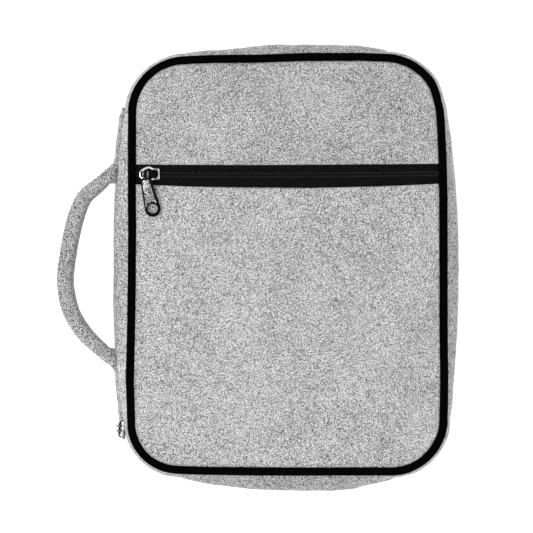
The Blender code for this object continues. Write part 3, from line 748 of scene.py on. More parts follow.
def padded_panel(name, node, foot, top, level, inset, crown_height, hems, seed, pressure=2.0,
                 sag=True, finish="front_cloth", facing=1):
    """A padded panel between two heights, with gathers along its seam and a soft crown. facing
    is 1 for a panel that faces up and -1 for one that lies on the floor."""
    sizes = bpy.context.scene.case_sizes
    rows = panel_rows(foot, top, inset, 1.8 * MM)
    columns = 0.5 + 0.5 * np.sin(np.pi * (np.linspace(0, 1, 121) - 0.5))
    columns = 0.35 * columns + 0.65 * np.linspace(0, 1, 121)
    left, right = edge_x(rows, inset, -1), edge_x(rows, inset, 1)
    x = left[:, None] + (right - left)[:, None] * columns[None, :]
    y = np.broadcast_to(rows[:, None], x.shape)
    depth = seam_distance(x, y, inset)
    if sag:
        y = sagged(x, y)
    z = level + crown(x, y, crown_height)
    along = np.stack([seam_arc(x, y) / (11 * MM), depth / (30 * MM), np.zeros_like(x)], -1)
    z = z + facing * sizes.pucker * np.exp(-depth / (7 * MM)) * waves(along, seed)
    broad = np.stack([x / (42 * MM), y / (52 * MM), np.zeros_like(x)], -1)
    inner = 1 - np.exp(-depth / (14 * MM))
    z = z + facing * sizes.slack * inner * waves(broad, seed + 1)
    z = z - facing * 0.9 * MM * np.exp(-(depth / (1.1 * MM)) ** 1.5)
    for hem in hems:
        z = z - facing * rolled(np.abs(rows - hem), sizes.cloth_thickness)[:, None]
    under = z - facing * sizes.cloth_thickness
    if facing < 0:
        z = np.maximum(z, 0.0)
    outer = bowed(np.stack([x, y, z], -1))
    hidden = bowed(np.stack([x, y, under], -1))
    if facing > 0:
        pinned = depth < 1.2 * MM
        pinned[[0, -1]] = True
        spaced = [0]
        for k in range(1, len(rows)):
            if rows[k] - rows[spaced[-1]] > 3.4 * MM:
                spaced.append(k)
        spaced = sorted(set(spaced[:-1]) | {len(rows) - 1})
        puff = swollen(outer, pinned, spaced, every(121, 2), pressure=pressure, cap=2.6 * MM)
        outer += puff
        hidden += puff
    bm = grid_bmesh(np.concatenate([outer, hidden[:, ::-1]], 1))
    obj = finish_mesh(name, bm, finish, replaces=node)
    return obj


def binding(name, node, seed):
    """Binding tape folded round a panel's raw edge, with its ease taken up at the corners."""
    run = ring_run(1.6 * MM)
    arcs = arc_lengths(run)
    box_low, box_high = low(node), high(node)
    half_depth, middle = (box_high.z - box_low.z) / 2, (box_high.z + box_low.z) / 2
    half_width = BINDING_WIDTH / 2
    angles = np.linspace(0, math.tau, 24, endpoint=False)
    power = 0.55
    around = np.sign(np.cos(angles)) * np.abs(np.cos(angles)) ** power
    upright = np.sign(np.sin(angles)) * np.abs(np.sin(angles)) ** power
    shape = np.stack(np.broadcast_arrays(arcs[:, None] / (6 * MM), around[None, :] * 0.8,
                                         upright[None, :] * 0.8), -1)
    corner = np.exp(-((run[:, 4] - CORNER_SWELL) / (0.8 * MM)) ** 2)
    loose = (0.04 + 0.10 * corner)[:, None] * MM * waves(shape, seed)
    slow = np.stack(np.broadcast_arrays(arcs[:, None] / (40 * MM), around[None, :] * 0.3, 3.0), -1)
    loose = loose + 0.10 * MM * waves(slow, seed + 2)
    offsets = BINDING_PROUD - half_width + around[None, :] * half_width + np.sign(around)[None, :] * loose
    heights = middle + upright[None, :] * half_depth * 0.97 + np.sign(upright)[None, :] * loose * 0.5
    bm = grid_bmesh(placed(run, offsets, heights), wrap_along=True)
    return finish_mesh(name, bm, "grosgrain_binding", replaces=(node,))


def tube_bmesh(paths, radius, sides=6):
    """Many short tubes in one mesh. paths is shaped (tubes, points, 3)."""
    tangents = np.gradient(paths, axis=1)
    tangents /= np.linalg.norm(tangents, axis=2, keepdims=True)
    helper = np.where(np.abs(tangents[..., 2:3]) > 0.9, (1.0, 0.0, 0.0), (0.0, 0.0, 1.0))
    first = np.cross(tangents, helper)
    first /= np.linalg.norm(first, axis=2, keepdims=True)
    second = np.cross(tangents, first)
    angles = np.linspace(0, math.tau, sides, endpoint=False)
    rim = (first[:, :, None] * np.cos(angles)[:, None] + second[:, :, None] * np.sin(angles)[:, None])
    points = paths[:, :, None] + rim * radius
    count, length = paths.shape[:2]
    base = (np.arange(count) * length * sides)[:, None, None, None]
    i = np.arange(length - 1)[None, :, None, None] * sides
    k = np.arange(sides)[None, None, :, None]
    n = (k + 1) % sides
    quads = base + i + np.concatenate([k, n, n + sides, k + sides], 3)
    faces = [tuple(q) for q in quads.reshape(-1, 4)]
    ends = []
    for tube in range(count):
        first_vert = tube * length * sides
        last_vert = first_vert + (length - 1) * sides
        ends.append(tuple(range(first_vert + sides - 1, first_vert - 1, -1)))
        ends.append(tuple(range(last_vert, last_vert + sides)))
    mesh = bpy.data.meshes.new("tubes")
    mesh.from_pydata(points.reshape(-1, 3).tolist(), [], faces + ends)
    bm = bmesh.new()
    bm.from_mesh(mesh)
    bpy.data.meshes.remove(mesh)
    return bm


def frames_along(points, ups, pitch, start=0.0):
    """Places at a pitch along a line of points: spot, direction, across and up."""
    arcs = np.concatenate([[0.0], np.cumsum(np.linalg.norm(np.diff(points, axis=0), axis=1))])
    marks = np.arange(start, arcs[-1] - start * 0.5, pitch)
    spots = np.column_stack([np.interp(marks, arcs, points[:, k]) for k in range(3)])
    up = np.column_stack([np.interp(marks, arcs, ups[:, k]) for k in range(3)])
    ahead = np.column_stack([np.interp(marks + 0.2 * MM, arcs, points[:, k]) for k in range(3)])
    behind = np.column_stack([np.interp(marks - 0.2 * MM, arcs, points[:, k]) for k in range(3)])
    along = ahead - behind
    along /= np.linalg.norm(along, axis=1, keepdims=True)
    across = np.cross(up, along)
    across /= np.linalg.norm(across, axis=1, keepdims=True)
    return spots, along, across, np.cross(along, across)


# One turn of the coil, from its sewn foot over its crown to the meshing tip, in millimetres
# across the zip and up from the tape
TURN = np.array([(1.5, -0.3), (1.28, 0.1), (1.06, 0.38), (0.84, 0.5), (0.6, 0.4),
                 (0.38, 0.05), (0.1, -0.35)]) * MM
COIL_RADIUS = 0.24 * MM


def coil(name, node, points, ups):
    """The coil's turns from both sides, meshed in the middle of the zip."""
    pitch = bpy.context.scene.case_sizes.tooth_pitch
    tubes = []
    for side, start in ((1, 0.3), (-1, 0.8)):
        spots, along, across, up = frames_along(points, ups, pitch, start * pitch)
        lean = np.linspace(-0.18, 0.12, len(TURN)) * pitch
        tubes.append(spots[:, None] + side * across[:, None] * TURN[None, :, 0:1]
                     + up[:, None] * TURN[None, :, 1:2] + along[:, None] * lean[None, :, None])
    bm = tube_bmesh(np.concatenate(tubes), COIL_RADIUS)
    return finish_mesh(name, bm, "nylon_coil", replaces=(node,))


def cords(name, points, ups):
    """The cord inside each side's coil and the one behind the meeting of the two."""
    spots, along, across, up = frames_along(points, ups, 1.5 * MM)
    sunk = spots - up * 0.18 * MM
    paths = np.stack([sunk + across * 0.84 * MM, sunk, sunk - across * 0.84 * MM])
    return finish_mesh(name, tube_bmesh(paths, 0.44 * MM), "black_cord")


def stitches(name, lines, finish, radius=0.2 * MM):
    """Rows of stitches. lines are pairs of points and their ups."""
    pitch = bpy.context.scene.case_sizes.stitch_pitch
    tubes = []
    for points, ups in lines:
        spots, along, across, up = frames_along(points, ups, pitch, 0.5 * pitch)
        share = np.array([-0.38, -0.3, 0.0, 0.3, 0.38]) * pitch
        lift = np.array([-0.9, 0.35, 0.6, 0.35, -0.9]) * radius
        tubes.append(spots[:, None] + along[:, None] * share[None, :, None]
                     + up[:, None] * lift[None, :, None])
    bm = tube_bmesh(np.concatenate(tubes), radius)
    return finish_mesh(name, bm, finish)


def spine_surface(y):
    """x of the spine's outer face in the middle of its depth, at the heights y."""
    middle, half = (SPINE_TOP + SPINE_FOOT) / 2, (SPINE_TOP - SPINE_FOOT) / 2
    offset = swelling((y - middle) / half, LEFT_SWELL, SPINE_FLATNESS) - SEAM_INSET
    along = y / HALF_HEIGHT
    return (-HALF_WIDTH - offset) * (1 + SIDE_BOW / HALF_WIDTH * (1 - along ** 2))


def handle_line(steps):
    """The handle's middle line: x, y and thickness, from its top end down."""
    middle, half = (SPINE_TOP + SPINE_FOOT) / 2, (SPINE_TOP - SPINE_FOOT) / 2
    thickness = 10 * MM
    end_body = HANDLE_COURSE[0].body * thickness
    knots = []
    for bend in HANDLE_COURSE:
        y = middle + bend.along * half
        lying = float(spine_surface(np.float64(y))) - HANDLE_GAP - end_body / 2
        knots.append((lying - bend.reach * HANDLE_REACH, y, bend.body * thickness))
    knots = np.array([knots[0]] + knots + [knots[-1]])
    line = []
    for k in range(1, len(knots) - 2):
        a, b, c, d = knots[k - 1:k + 3]
        for t in np.arange(steps) / steps:
            line.append(0.5 * (2 * b + (c - a) * t + (2 * a - 5 * b + 4 * c - d) * t ** 2
                               + (3 * b - a - 3 * c + d) * t ** 3))
    line.append(knots[-1])
    return np.array(line), end_body


def handle_shape(steps=7):
    line, end_body = handle_line(steps)
    body = line[:, 2]
    clear = (body - end_body).clip(0) / 2 * (1 - (spine_surface(line[:, 1]) - line[:, 0]) / body).clip(0)
    spots = np.column_stack([line[:, 0] - clear, line[:, 1]])
    tangents = np.gradient(line[:, :2], axis=0)
    tangents /= np.linalg.norm(tangents, axis=1, keepdims=True)
    outward = np.column_stack([tangents[:, 1], -tangents[:, 0]])
    return spots, outward, body


def hinge(name):
    """Where a pull tab's hinge line is."""
    for joint in frame["record"]["behaviour"]["joints"]:
        if joint["name"] == name:
            return Vector(joint["pos_m"])
    raise ValueError(name)


MAIN_TURN = Matrix(((0, 0, -1), (-1, 0, 0), (0, 1, 0))).to_4x4()


def join_pieces(name, meshes, body, replaces, smooth=35):
    """One piece from several bmeshes, each given with its material's name."""
    mesh = bpy.data.meshes.new(name)
    whole = bmesh.new()
    for index, (bm, finish) in enumerate(meshes):
        bmesh.ops.recalc_face_normals(bm, faces=bm.faces)
        if bm.calc_volume(signed=True) < 0:
            bmesh.ops.reverse_faces(bm, faces=bm.faces)
        for face in bm.faces:
            face.material_index = index
        part = bpy.data.meshes.new("part")
        bm.to_mesh(part)
        bm.free()
        whole.from_mesh(part)
        bpy.data.meshes.remove(part)
        mesh.materials.append(material(finish))
    whole.to_mesh(mesh)
    whole.free()
    mesh.shade_smooth()
    mesh.set_sharp_from_angle(angle=math.radians(smooth))
    obj = bpy.data.objects.new(name, mesh)
    bpy.context.scene.collection.objects.link(obj)
    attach(obj, body)
    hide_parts(*replaces)
    return obj


def plate_bmesh(outline, low_z, high_z, rounding, place, holes=()):
    """A flat plate with softened edges and round holes, from an outline in the local plane."""
    bm = bmesh.new()
    rings = [np.array(ring) for ring in [outline] + list(holes)]
    levels = [(low_z, rounding), (low_z + rounding * 0.3, rounding * 0.3), (low_z + rounding, 0.0),
              (high_z - rounding, 0.0), (high_z - rounding * 0.3, rounding * 0.3), (high_z, rounding)]
    for_fill = {0: [], len(levels) - 1: []}
    for number, ring in enumerate(rings):
        ahead, behind = np.roll(ring, -1, 0), np.roll(ring, 1, 0)
        tangent = ahead - behind
        tangent /= np.linalg.norm(tangent, axis=1, keepdims=True)
        inward = np.column_stack([-tangent[:, 1], tangent[:, 0]])
        area = 0.5 * np.sum(ring[:, 0] * ahead[:, 1] - ahead[:, 0] * ring[:, 1])
        inward *= np.sign(area)
        if number:
            inward = -inward
        loops = []
        for z, shrink in levels:
            spots = ring + inward * shrink
            loops.append([bm.verts.new((x, y, z)) for x, y in spots])
        for one, two in zip(loops, loops[1:]):
            for k in range(len(one)):
                n = (k + 1) % len(one)
                bm.faces.new((one[k], one[n], two[n], two[k]))
        for index in for_fill:
            loop = loops[index]
            edges = [bm.edges.get((loop[k], loop[(k + 1) % len(loop)])) for k in range(len(loop))]
            for_fill[index] += edges
    for edges in for_fill.values():
        if len(rings) > 1:
            bmesh.ops.triangle_fill(bm, use_beauty=True, edges=edges)
        else:
            verts = [v for e in edges for v in e.verts]
            ordered = list(dict.fromkeys(verts))
            bmesh.ops.contextual_create(bm, geom=ordered)
    bm.transform(place)
    return bm


def circle(centre, radius, count=28):
    angles = np.linspace(0, math.tau, count, endpoint=False)
    return [(centre[0] + radius * math.cos(a), centre[1] + radius * math.sin(a)) for a in angles]


def slider_outline(shrink):
    """The slider's plate from above, with its square heel to the right, made smaller."""
    half, wide = SLIDER_LENGTH / 2 - shrink, SLIDER_WIDTH / 2 - shrink
    heel, nose = SLIDER_HEEL / 2 - shrink, SLIDER_NOSE / 2 - shrink * 0.4
    upper = [(half, heel - 0.3 * MM), (half - 0.3 * MM, heel), (half * 0.5, heel),
             (half * 0.3, heel + 0.15 * (wide - heel)), (half * 0.16, heel + 0.75 * (wide - heel)),
             (0, wide), (-half * 0.16, wide), (-half * 0.34, wide - 0.4 * MM),
             (-half * 0.55, wide - 1.0 * MM), (-half * 0.8, wide - 1.9 * MM), (-half * 0.95, nose)]
    return upper + [(x, -y) for x, y in reversed(upper)]


def squared(count, power):
    """Cosines and sines round a rounded square, for sections with flattened sides."""
    angles = np.linspace(0, math.tau, count, endpoint=False)
    c, s = np.cos(angles), np.sin(angles)
    return np.sign(c) * np.abs(c) ** power, np.sign(s) * np.abs(s) ** power


def slider_parts(place, eye_shift):
    """Plate in painted shade with its bright rim, flanges in painted half shade and the arched
    bridge in painted shade, about the hinge line. The bridge is slim where the tab's rings run
    round it."""
    down = -(SLIDER_PLATE + BRIDGE_RISE)
    half, heel = SLIDER_LENGTH / 2, SLIDER_HEEL / 2
    rim_low = down + 0.9 * MM
    plate = plate_bmesh(slider_outline(0.2 * MM), down, down + SLIDER_PLATE - 0.3 * MM, 0.2 * MM, place)
    rim = plate_bmesh(slider_outline(0.0), rim_low, down + SLIDER_PLATE, 0.22 * MM, place,
                      [slider_outline(1.25 * MM)])
    parts = [(plate, "shaded_nickel"), (rim, "plated_nickel")]
    for side in (-1, 1):
        rail = [(half * 0.45, side * heel), (half * 0.97, side * heel),
                (half * 0.97, side * (heel - 0.9 * MM)), (half * 0.45, side * (heel - 0.9 * MM))]
        parts.append((plate_bmesh(rail, down - 0.45 * MM, down + SLIDER_PLATE + 0.25 * MM,
                                  0.15 * MM, place), "nickel_in_painted_half_shade"))
    span = BRIDGE_LENGTH / 2 * 0.96
    steps = np.linspace(0, 1, 41)
    line = np.column_stack([-span * np.cos(np.pi * steps),
                            (down + SLIDER_PLATE * 0.5) * (1 - np.sin(np.pi * steps) ** 0.25)])
    tangent = np.gradient(line, axis=0)
    tangent /= np.linalg.norm(tangent, axis=1, keepdims=True)
    normal = np.column_stack([-tangent[:, 1], tangent[:, 0]])
    away = np.abs(line[:, 0] - eye_shift) - EYE_SPAN / 2
    width = BRIDGE_WIDTH / 2 + 0.85 * MM * (away / (0.6 * MM)).clip(0, 1)
    a, b = squared(20, 0.6)
    points = np.empty((len(steps), 20, 3))
    points[..., 0] = line[:, 0:1] + normal[:, 0:1] * b * BRIDGE_THICKNESS / 2
    points[..., 1] = width[:, None] * a
    points[..., 2] = line[:, 1:2] + normal[:, 1:2] * b * BRIDGE_THICKNESS / 2
    arch = grid_bmesh(points)
    arch.transform(place)
    return parts + [(arch, "shaded_nickel")]


def ring_bmesh(middle, width, place):
    """A ring of the tab's eye round the hinge line."""
    angles = np.linspace(0, math.tau, 32, endpoint=False)
    wall = (EYE_RADIUS - EYE_BORE) / 2
    a, b = squared(12, 0.6)
    radius = EYE_BORE + wall + b * wall
    points = np.stack(np.broadcast_arrays(middle + a[None, :] * width / 2,
                                          radius[None, :] * np.cos(angles)[:, None],
                                          radius[None, :] * np.sin(angles)[:, None]), -1)
    bm = grid_bmesh(points, wrap_along=True)
    bm.transform(place)
    return bm


def tab_outline(shrink):
    """The pull tab from above, made smaller: a straight taper that widens to a round foot."""
    side = shrink
    foot = 4.85 * MM - shrink
    top = -EYE_RADIUS - 0.5 * MM - shrink
    right = [(2.8 * MM - side, top), (3.2 * MM - side, top - 0.4 * MM), (3.4 * MM - side, top - 2.5 * MM)]
    centre = -TAB_LENGTH + foot + shrink
    right += [(foot * math.cos(a), centre + foot * math.sin(a))
              for a in np.radians(np.linspace(4, -86, 12))]
    return right + [(-x, y) for x, y in reversed(right)]


def tab_parts(place, eye_shift, lean, droop):
    """Pull tab: two rings and their lugs in painted half shade, pebbled face with painted shade in
    its pits, raised rim in painted shade, and a round hole with its collar, also in painted shade.
    """
    ring_width = 1.1 * MM
    parts = []
    for side in (-1, 1):
        middle = eye_shift + side * (EYE_SPAN - ring_width) / 2
        parts.append((ring_bmesh(middle, ring_width, place), "nickel_in_painted_half_shade"))
    shoulder = Matrix.Translation((0, -EYE_RADIUS - 0.5 * MM, 0))
    lay = (place @ Matrix.Rotation(droop, 4, "X") @ Matrix.Translation((eye_shift, 0, 0))
           @ shoulder @ Matrix.Rotation(lean, 4, "Z") @ shoulder.inverted())
    half = TAB_THICKNESS / 2
    centre = (0, -TAB_LENGTH + 5.0 * MM)
    hole = circle(centre, 2.95 * MM, 36)
    face = plate_bmesh(tab_outline(0.2 * MM), -half + 0.1 * MM, half - 0.22 * MM, 0.1 * MM, lay, [hole])
    # The rim is left wider on the right, 1.65 mm against 0.95 mm, so that its painted shade lies as a shadow
    # down the tab's right side.
    inner = [(x - 0.35 * MM, y) for x, y in tab_outline(1.3 * MM)]
    rim = plate_bmesh(tab_outline(0.0), -half, half, 0.18 * MM, lay, [inner])
    collar = plate_bmesh(circle(centre, 4.0 * MM, 36), -half, half, 0.15 * MM, lay, [hole])
    lugs = []
    for side in (-1, 1):
        x = side * (EYE_SPAN - ring_width) / 2
        box = [(x - 0.5 * MM, -EYE_BORE - 0.25 * MM), (x + 0.5 * MM, -EYE_BORE - 0.25 * MM),
               (x + 0.5 * MM, -EYE_RADIUS - 0.9 * MM), (x - 0.5 * MM, -EYE_RADIUS - 0.9 * MM)]
        turned = place @ Matrix.Rotation(droop, 4, "X") @ Matrix.Translation((eye_shift, 0, 0))
        lugs.append((plate_bmesh(box, -half * 0.9, half * 0.9, 0.15 * MM, turned), "nickel_in_painted_half_shade"))
    return parts + lugs + [(face, "pebbled_nickel"), (rim, "shaded_nickel"), (collar, "shaded_nickel")]


def pocket_droop():
    """How far the pocket's tab tips down to lie on the cloth."""
    spot = hinge("pocket_tab_hinge")
    x = spot.x + TAB_LENGTH * math.sin(TAB_LEAN) + 4.85 * MM
    cloth = POCKET_TOP + float(crown(np.float64(x), np.float64(spot.y - TAB_LENGTH)))
    return math.asin((spot.z - cloth - TAB_THICKNESS / 2 - 0.6 * MM) / TAB_LENGTH)


class CASE_OT_front(bpy.types.Operator):
    """Make the padded cloth above and below the pocket zip"""
    bl_idname = "case.front"
    bl_label = "Front cloth"

    def execute(self, context):
        inset = 4.4 * MM
        edge = HALF_HEIGHT - inset
        seam = POCKET_BAND / 2
        foot, top = POCKET_ZIP_HEIGHT - seam, POCKET_ZIP_HEIGHT + seam
        padded_panel("front_cloth_lower", ("pocket_lower",), -edge, foot, POCKET_TOP, inset,
                     FRONT_CROWN, (foot,), 1, pressure=1.2)
        padded_panel("front_cloth_upper", ("pocket_upper",), top, edge, POCKET_TOP, inset,
                     FRONT_CROWN, (top,), 5, pressure=3.0, finish="upper_cloth_painted_shade")
        frame["nodes"]["pocket_lining"].material_slots[0].material = material("front_cloth")
        return {"FINISHED"}


class CASE_OT_back(bpy.types.Operator):
    """Make the padded back panel that the case lies on"""
    bl_idname = "case.back"
    bl_label = "Back panel"

    def execute(self, context):
        inset = 4.4 * MM
        edge = HALF_HEIGHT - inset
        padded_panel("back_cloth", ("back_panel",), -edge, edge, 0.9 * MM, inset, 0.0, (), 9,
                     sag=False, facing=-1)
        return {"FINISHED"}


class CASE_OT_gusset(bpy.types.Operator):
    """Make the cloth strips on both sides of the main zip and the spine"""
    bl_idname = "case.gusset"
    bl_label = "Gusset and spine"

    def execute(self, context):
        run = zip_run(2.0 * MM)
        half = MAIN_BAND / 2
        gusset_cloth("gusset_cloth_back", "gusset_back", run, GUSSET_FOOT, MAIN_ZIP_Z - half,
                     round_bulge, (GUSSET_FOOT,), (MAIN_ZIP_Z - half,), 11)
        gusset_cloth("gusset_cloth_front", "gusset_front", run, MAIN_ZIP_Z + half, GUSSET_TOP,
                     round_bulge, (GUSSET_TOP,), (MAIN_ZIP_Z + half,), 14)
        gusset_cloth("spine_cloth", "spine", spine_run(2.0 * MM, trim=0.3 * MM), GUSSET_FOOT,
                     GUSSET_TOP, flat_bulge, (GUSSET_FOOT, GUSSET_TOP), (), 17, "spine_cloth")
        return {"FINISHED"}


class CASE_OT_binding(bpy.types.Operator):
    """Make the black binding round both panels, with its stitches"""
    bl_idname = "case.binding"
    bl_label = "Binding"

    def execute(self, context):
        binding("front_binding", "binding_front", 21)
        binding("back_binding", "binding_back", 25)
        run = ring_run(1.6 * MM)
        closed = np.vstack([run, run[:1]])
        inset = np.full((len(closed), 1), -3.6 * MM)
        line = placed(closed, inset, high("binding_front").z - 0.06 * MM)[:, 0]
        ups = np.tile((0.0, 0.0, 1.0), (len(line), 1))
        stitches("binding_stitches", [(line, ups)], "grosgrain_binding")
        return {"FINISHED"}


class CASE_OT_zips(bpy.types.Operator):
    """Make the tapes and coils of both zips"""
    bl_idname = "case.zips"
    bl_label = "Zips"

    def execute(self, context):
        self.pocket_zip()
        self.main_zip()
        return {"FINISHED"}

    def pocket_zip(self):
        tape_top = POCKET_TOP - 0.95 * MM
        under = 2.0 * MM
        edge = HALF_WIDTH - 4.4 * MM
        x = np.linspace(-edge, edge, 140)
        for side, name in ((1, "upper"), (-1, "lower")):
            across = np.array([0.12 * MM, 1.5 * MM, 3.5 * MM, POCKET_BAND / 2, POCKET_BAND / 2 + under])
            loops = []
            for z_shift, order in ((0.0, across), (-0.45 * MM, across[::-1])):
                y = POCKET_ZIP_HEIGHT + side * order
                grid_x, grid_y = np.meshgrid(x, y, indexing="ij")
                level = tape_top + z_shift + crown(grid_x, np.full_like(grid_x, POCKET_ZIP_HEIGHT))
                loops.append(bowed(np.stack([grid_x, sagged(grid_x, grid_y), level], -1)))
            bm = grid_bmesh(np.concatenate(loops, 1))
            finish_mesh("pocket_zip_tape_" + name, bm, "woven_zip_tape",
                        replaces=("pocket_tape_" + name,))
        y = sagged(x, np.full_like(x, POCKET_ZIP_HEIGHT))
        level = tape_top + crown(x, np.full_like(x, POCKET_ZIP_HEIGHT))
        line = bowed(np.stack([x, y, level], -1))
        ups = np.tile((0.0, 0.0, 1.0), (len(line), 1))
        coil("pocket_coil", "pocket_chain", line, ups)
        cords("pocket_coil_cords", line, ups)

    def main_zip(self):
        run = zip_run(2.0 * MM)
        recess = 1.0 * MM
        for side, name in ((1, "front"), (-1, "back")):
            across = np.array([0.12 * MM, 2.0 * MM, 4.0 * MM, MAIN_BAND / 2, MAIN_BAND / 2 + 2.0 * MM])
            heights = MAIN_ZIP_Z + side * across
            outer = gusset_offsets(run, heights, round_bulge) - recess
            bm = grid_bmesh(np.concatenate([placed(run, outer, heights),
                                            placed(run, outer - 0.45 * MM, heights)[:, ::-1]], 1))
            finish_mesh("main_zip_tape_" + name, bm, "woven_zip_tape",
                        replaces=("main_tape_" + name,))
        heights = np.array([MAIN_ZIP_Z])
        line = placed(run, gusset_offsets(run, heights, round_bulge) - recess, heights)[:, 0]
        ups = np.column_stack([run[:, 2:4], np.zeros(len(run))])
        coil("main_coil", "main_chain", line, ups)
        cords("main_coil_cords", line, ups)


class CASE_OT_handle(bpy.types.Operator):
    """Make the padded handle and the stitches that hold its ends"""
    bl_idname = "case.handle"
    bl_label = "Handle"

    def execute(self, context):
        spots, outward, body = handle_shape()
        middle = (low("handle").z + high("handle").z) / 2
        count = 40
        angles = np.linspace(0, math.tau, count, endpoint=False)
        power = 0.52
        around = np.sign(np.cos(angles)) * np.abs(np.cos(angles)) ** power
        upright = np.sign(np.sin(angles)) * np.abs(np.sin(angles)) ** (power * 0.8)
        grid = np.stack(np.broadcast_arrays(spots[:, 1:2] / (9 * MM), around[None, :],
                                            upright[None, :] * 1.2), -1)
        full = ((body - 2.6 * MM) / (7.4 * MM)).clip(0, 1)[:, None]
        loose = (0.08 + 0.17 * full) * MM * waves(grid, 31)
        a = around[None, :] * (body[:, None] / 2 + loose)
        b = upright[None, :] * (HANDLE_WIDTH / 2 + loose * 0.6)
        seam = np.exp(-((a / (body[:, None] / 2) - 0.55) / 0.12) ** 2) * (np.abs(b) > HANDLE_WIDTH * 0.44)
        b = b - np.sign(b) * 0.22 * MM * seam * full
        z = middle + b
        hug = (1 - (body - 2.4 * MM) / (2.6 * MM)).clip(0, 1)[:, None]
        slope = np.abs(outward[:, 0:1]).clip(0.35)
        away = (spine_surface(spots[:, 1:2]) - spots[:, 0:1]) / slope
        near = ((2.7 - away / (body[:, None] / 2)) / 0.9).clip(0, 1)
        deep = away + (self.spine_drop(spots[:, 1:2], z) * (1 - hug) + 0.4 * MM) / slope
        web = (deep / (body[:, None] / 2) - 1).clip(0) * near ** 2 * (3 - 2 * near)
        a = np.where(a > 0, a, a * (1 + web))
        thin = 1 - 0.62 * hug * np.abs(b / (HANDLE_WIDTH / 2)) ** 5
        a = np.where(a > 0, a * thin, a - 0.9 * MM * hug)
        x = spots[:, 0:1] + outward[:, 0:1] * a + hug * self.spine_drop(spots[:, 1:2], z)
        y = spots[:, 1:2] + outward[:, 1:2] * a
        bm = grid_bmesh(np.stack([x, y, z], -1))
        obj = finish_mesh("padded_handle", bm, "handle_cloth_painted_shade", replaces=("handle",))
        self.sew_ends(spots, outward, body, middle)
        self.sew_edges(spots, outward, body, middle)
        return {"FINISHED"}

    def spine_drop(self, y, z):
        """How far the spine's bulge lies behind its own middle at the heights z."""
        middle, half = (SPINE_TOP + SPINE_FOOT) / 2, (SPINE_TOP - SPINE_FOOT) / 2
        share = ((z - GUSSET_FOOT) / GUSSET_DEPTH).clip(0, 1)
        return swelling((y - middle) / half, LEFT_SWELL, SPINE_FLATNESS) * (1 - flat_bulge(share))

    def sew_ends(self, spots, outward, body, middle):
        """A box with a cross in it on each flat end."""
        lines = []
        for near, far in ((0.985, 0.755), (-0.945, -0.725)):
            mid, half = (SPINE_TOP + SPINE_FOOT) / 2, (SPINE_TOP - SPINE_FOOT) / 2
            y0, y1 = mid + near * half, mid + far * half
            z0, z1 = middle - HANDLE_WIDTH / 2 + 2.5 * MM, middle + HANDLE_WIDTH / 2 - 2.5 * MM
            corners = [(y0, z0), (y1, z0), (y1, z1), (y0, z1)]
            order = np.argsort(spots[:, 1])
            for one, two in ((0, 1), (1, 2), (2, 3), (3, 0), (0, 2), (1, 3)):
                share = np.linspace(0, 1, 24)
                y = corners[one][0] + (corners[two][0] - corners[one][0]) * share
                z = corners[one][1] + (corners[two][1] - corners[one][1]) * share
                surface = spots[:, 0] - body / 2
                x = np.interp(y, spots[order, 1], surface[order]) - 0.05 * MM + self.spine_drop(y, z)
                lines.append((np.column_stack([x, y, z]), np.tile((-1.0, 0.0, 0.0), (24, 1))))
        stitches("handle_stitches", lines, "grey_thread", radius=0.22 * MM)

    def sew_edges(self, spots, outward, body, middle):
        """A row of stitches along both edges of the loop, where its folded cloth is closed."""
        loop = body > 4.5 * MM
        face = spots[loop, :2] + outward[loop, :2] * (0.885 * body[loop, None] / 2 + 0.16 * MM)
        ups = np.column_stack([outward[loop, :2], np.zeros(loop.sum())])
        lines = []
        for side in (-1, 1):
            z = np.full(loop.sum(), middle + side * (HANDLE_WIDTH / 2 - 2.4 * MM))
            lines.append((np.column_stack([face, z]), ups))
        stitches("handle_edge_stitches", lines, "grey_thread", radius=0.25 * MM)


class CASE_OT_hardware(bpy.types.Operator):
    """Make both sliders and their pull tabs"""
    bl_idname = "case.hardware"
    bl_label = "Sliders and tabs"

    def execute(self, context):
        shift = Matrix.Translation((SLIDER_SHIFT, 0, 0))
        pocket = Matrix.Translation(hinge("pocket_tab_hinge")) @ shift
        main = Matrix.Translation(hinge("main_tab_hinge")) @ Matrix.Translation((0, MAIN_SHIFT, 0)) @ MAIN_TURN
        tilt = Matrix.Rotation(MAIN_TILT, 4, "Y")
        join_pieces("pocket_zip_slider", slider_parts(pocket, EYE_SHIFT),
                    "case", ("pocket_slider",))
        join_pieces("pocket_pull_tab", tab_parts(pocket, EYE_SHIFT, TAB_LEAN, pocket_droop()),
                    "pocket_tab", ("pocket_puller",))
        join_pieces("main_zip_slider", slider_parts(main @ tilt, 0.0), "case",
                    ("main_slider",))
        join_pieces("main_pull_tab", tab_parts(main, 0.0, 0.0, 0.0),
                    "main_tab", ("main_puller",))
        return {"FINISHED"}


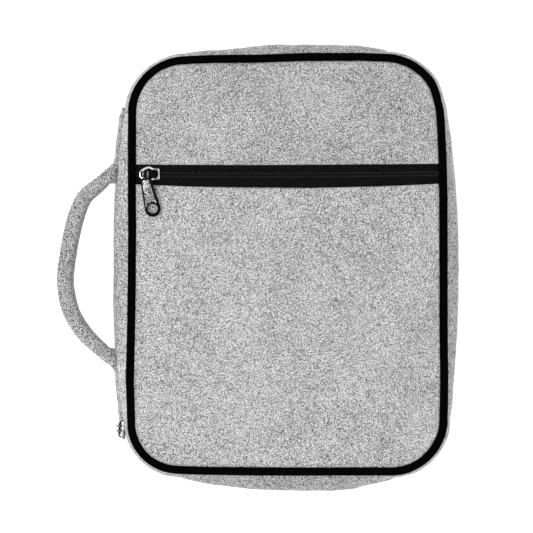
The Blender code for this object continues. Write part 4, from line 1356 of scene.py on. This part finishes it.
class CASE_OT_stage(bpy.types.Operator):
    """Set the pale floor, the soft studio light and the camera"""
    bl_idname = "case.stage"
    bl_label = "Stage"

    def execute(self, context):
        scene = context.scene
        sizes = scene.case_sizes
        bm = bmesh.new()
        bmesh.ops.create_grid(bm, x_segments=1, y_segments=1, size=6.0)
        mesh = bpy.data.meshes.new("floor")
        bm.to_mesh(mesh)
        bm.free()
        mesh.materials.append(material("opal_acrylic_painted_glow"))
        floor = bpy.data.objects.new("floor", mesh)
        floor.location.z = -0.05 * MM
        scene.collection.objects.link(floor)
        world = bpy.data.worlds.new("soft_room")
        world.use_nodes = True
        world.node_tree.nodes["Background"].inputs["Color"].default_value = (1, 1, 1, 1)
        world.node_tree.nodes["Background"].inputs["Strength"].default_value = 0.72
        scene.world = world
        lamps = (("key_panel", (-0.62, -0.08, 1.25), 0.5, 6.0), ("fill_panel", (1.4, -1.0, 2.2), 1.8, 4.0))
        for name, spot, size, power in lamps:
            lamp = bpy.data.lights.new(name, "AREA")
            lamp.shape = "DISK"
            lamp.size = size
            lamp.energy = power
            obj = bpy.data.objects.new(name, lamp)
            obj.location = spot
            aim = Vector((0.0, 0.0, 0.03)) - Vector(spot)
            obj.rotation_euler = aim.to_track_quat("-Z", "Y").to_euler()
            scene.collection.objects.link(obj)
        camera = bpy.data.cameras.new("camera")
        front = BOX_TOP = high("binding_front").z
        camera.sensor_width = 36.0
        camera.lens = camera.sensor_width * (sizes.camera_distance - front) / sizes.view_width
        camera.clip_end = 20.0
        eye = bpy.data.objects.new("camera", camera)
        eye.location = (-12.1 * MM, -1.3 * MM, sizes.camera_distance)
        scene.collection.objects.link(eye)
        scene.camera = eye
        scene.view_settings.view_transform = "Standard"
        return {"FINISHED"}


class CASE_PT_panel(bpy.types.Panel):
    """Lists the pieces in the 3D view's sidebar"""
    bl_idname = "CASE_PT_panel"
    bl_label = "Book Case"
    bl_space_type = "VIEW_3D"
    bl_region_type = "UI"
    bl_category = "Book Case"

    def draw(self, context):
        for group in (context.scene.case_sizes, context.scene.case_colours):
            for name in group.__annotations__:
                self.layout.prop(group, name)
        for operator in PIECES:
            self.layout.operator(operator.bl_idname)


PIECES = (CASE_OT_stage, CASE_OT_front, CASE_OT_back, CASE_OT_gusset, CASE_OT_binding,
          CASE_OT_zips, CASE_OT_handle, CASE_OT_hardware)
CLASSES = (CaseSizes, CaseColours) + PIECES + (CASE_PT_panel,)


def register():
    for each in CLASSES:
        bpy.utils.register_class(each)
    bpy.types.Scene.case_sizes = PointerProperty(type=CaseSizes)
    bpy.types.Scene.case_colours = PointerProperty(type=CaseColours)


def unregister():
    del bpy.types.Scene.case_colours
    del bpy.types.Scene.case_sizes
    for each in reversed(CLASSES):
        bpy.utils.unregister_class(each)


def main():
    register()
    for operator in PIECES:
        group, name = operator.bl_idname.split(".")
        getattr(getattr(bpy.ops, group), name)()
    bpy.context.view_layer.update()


if __name__ == "__main__":
    main()
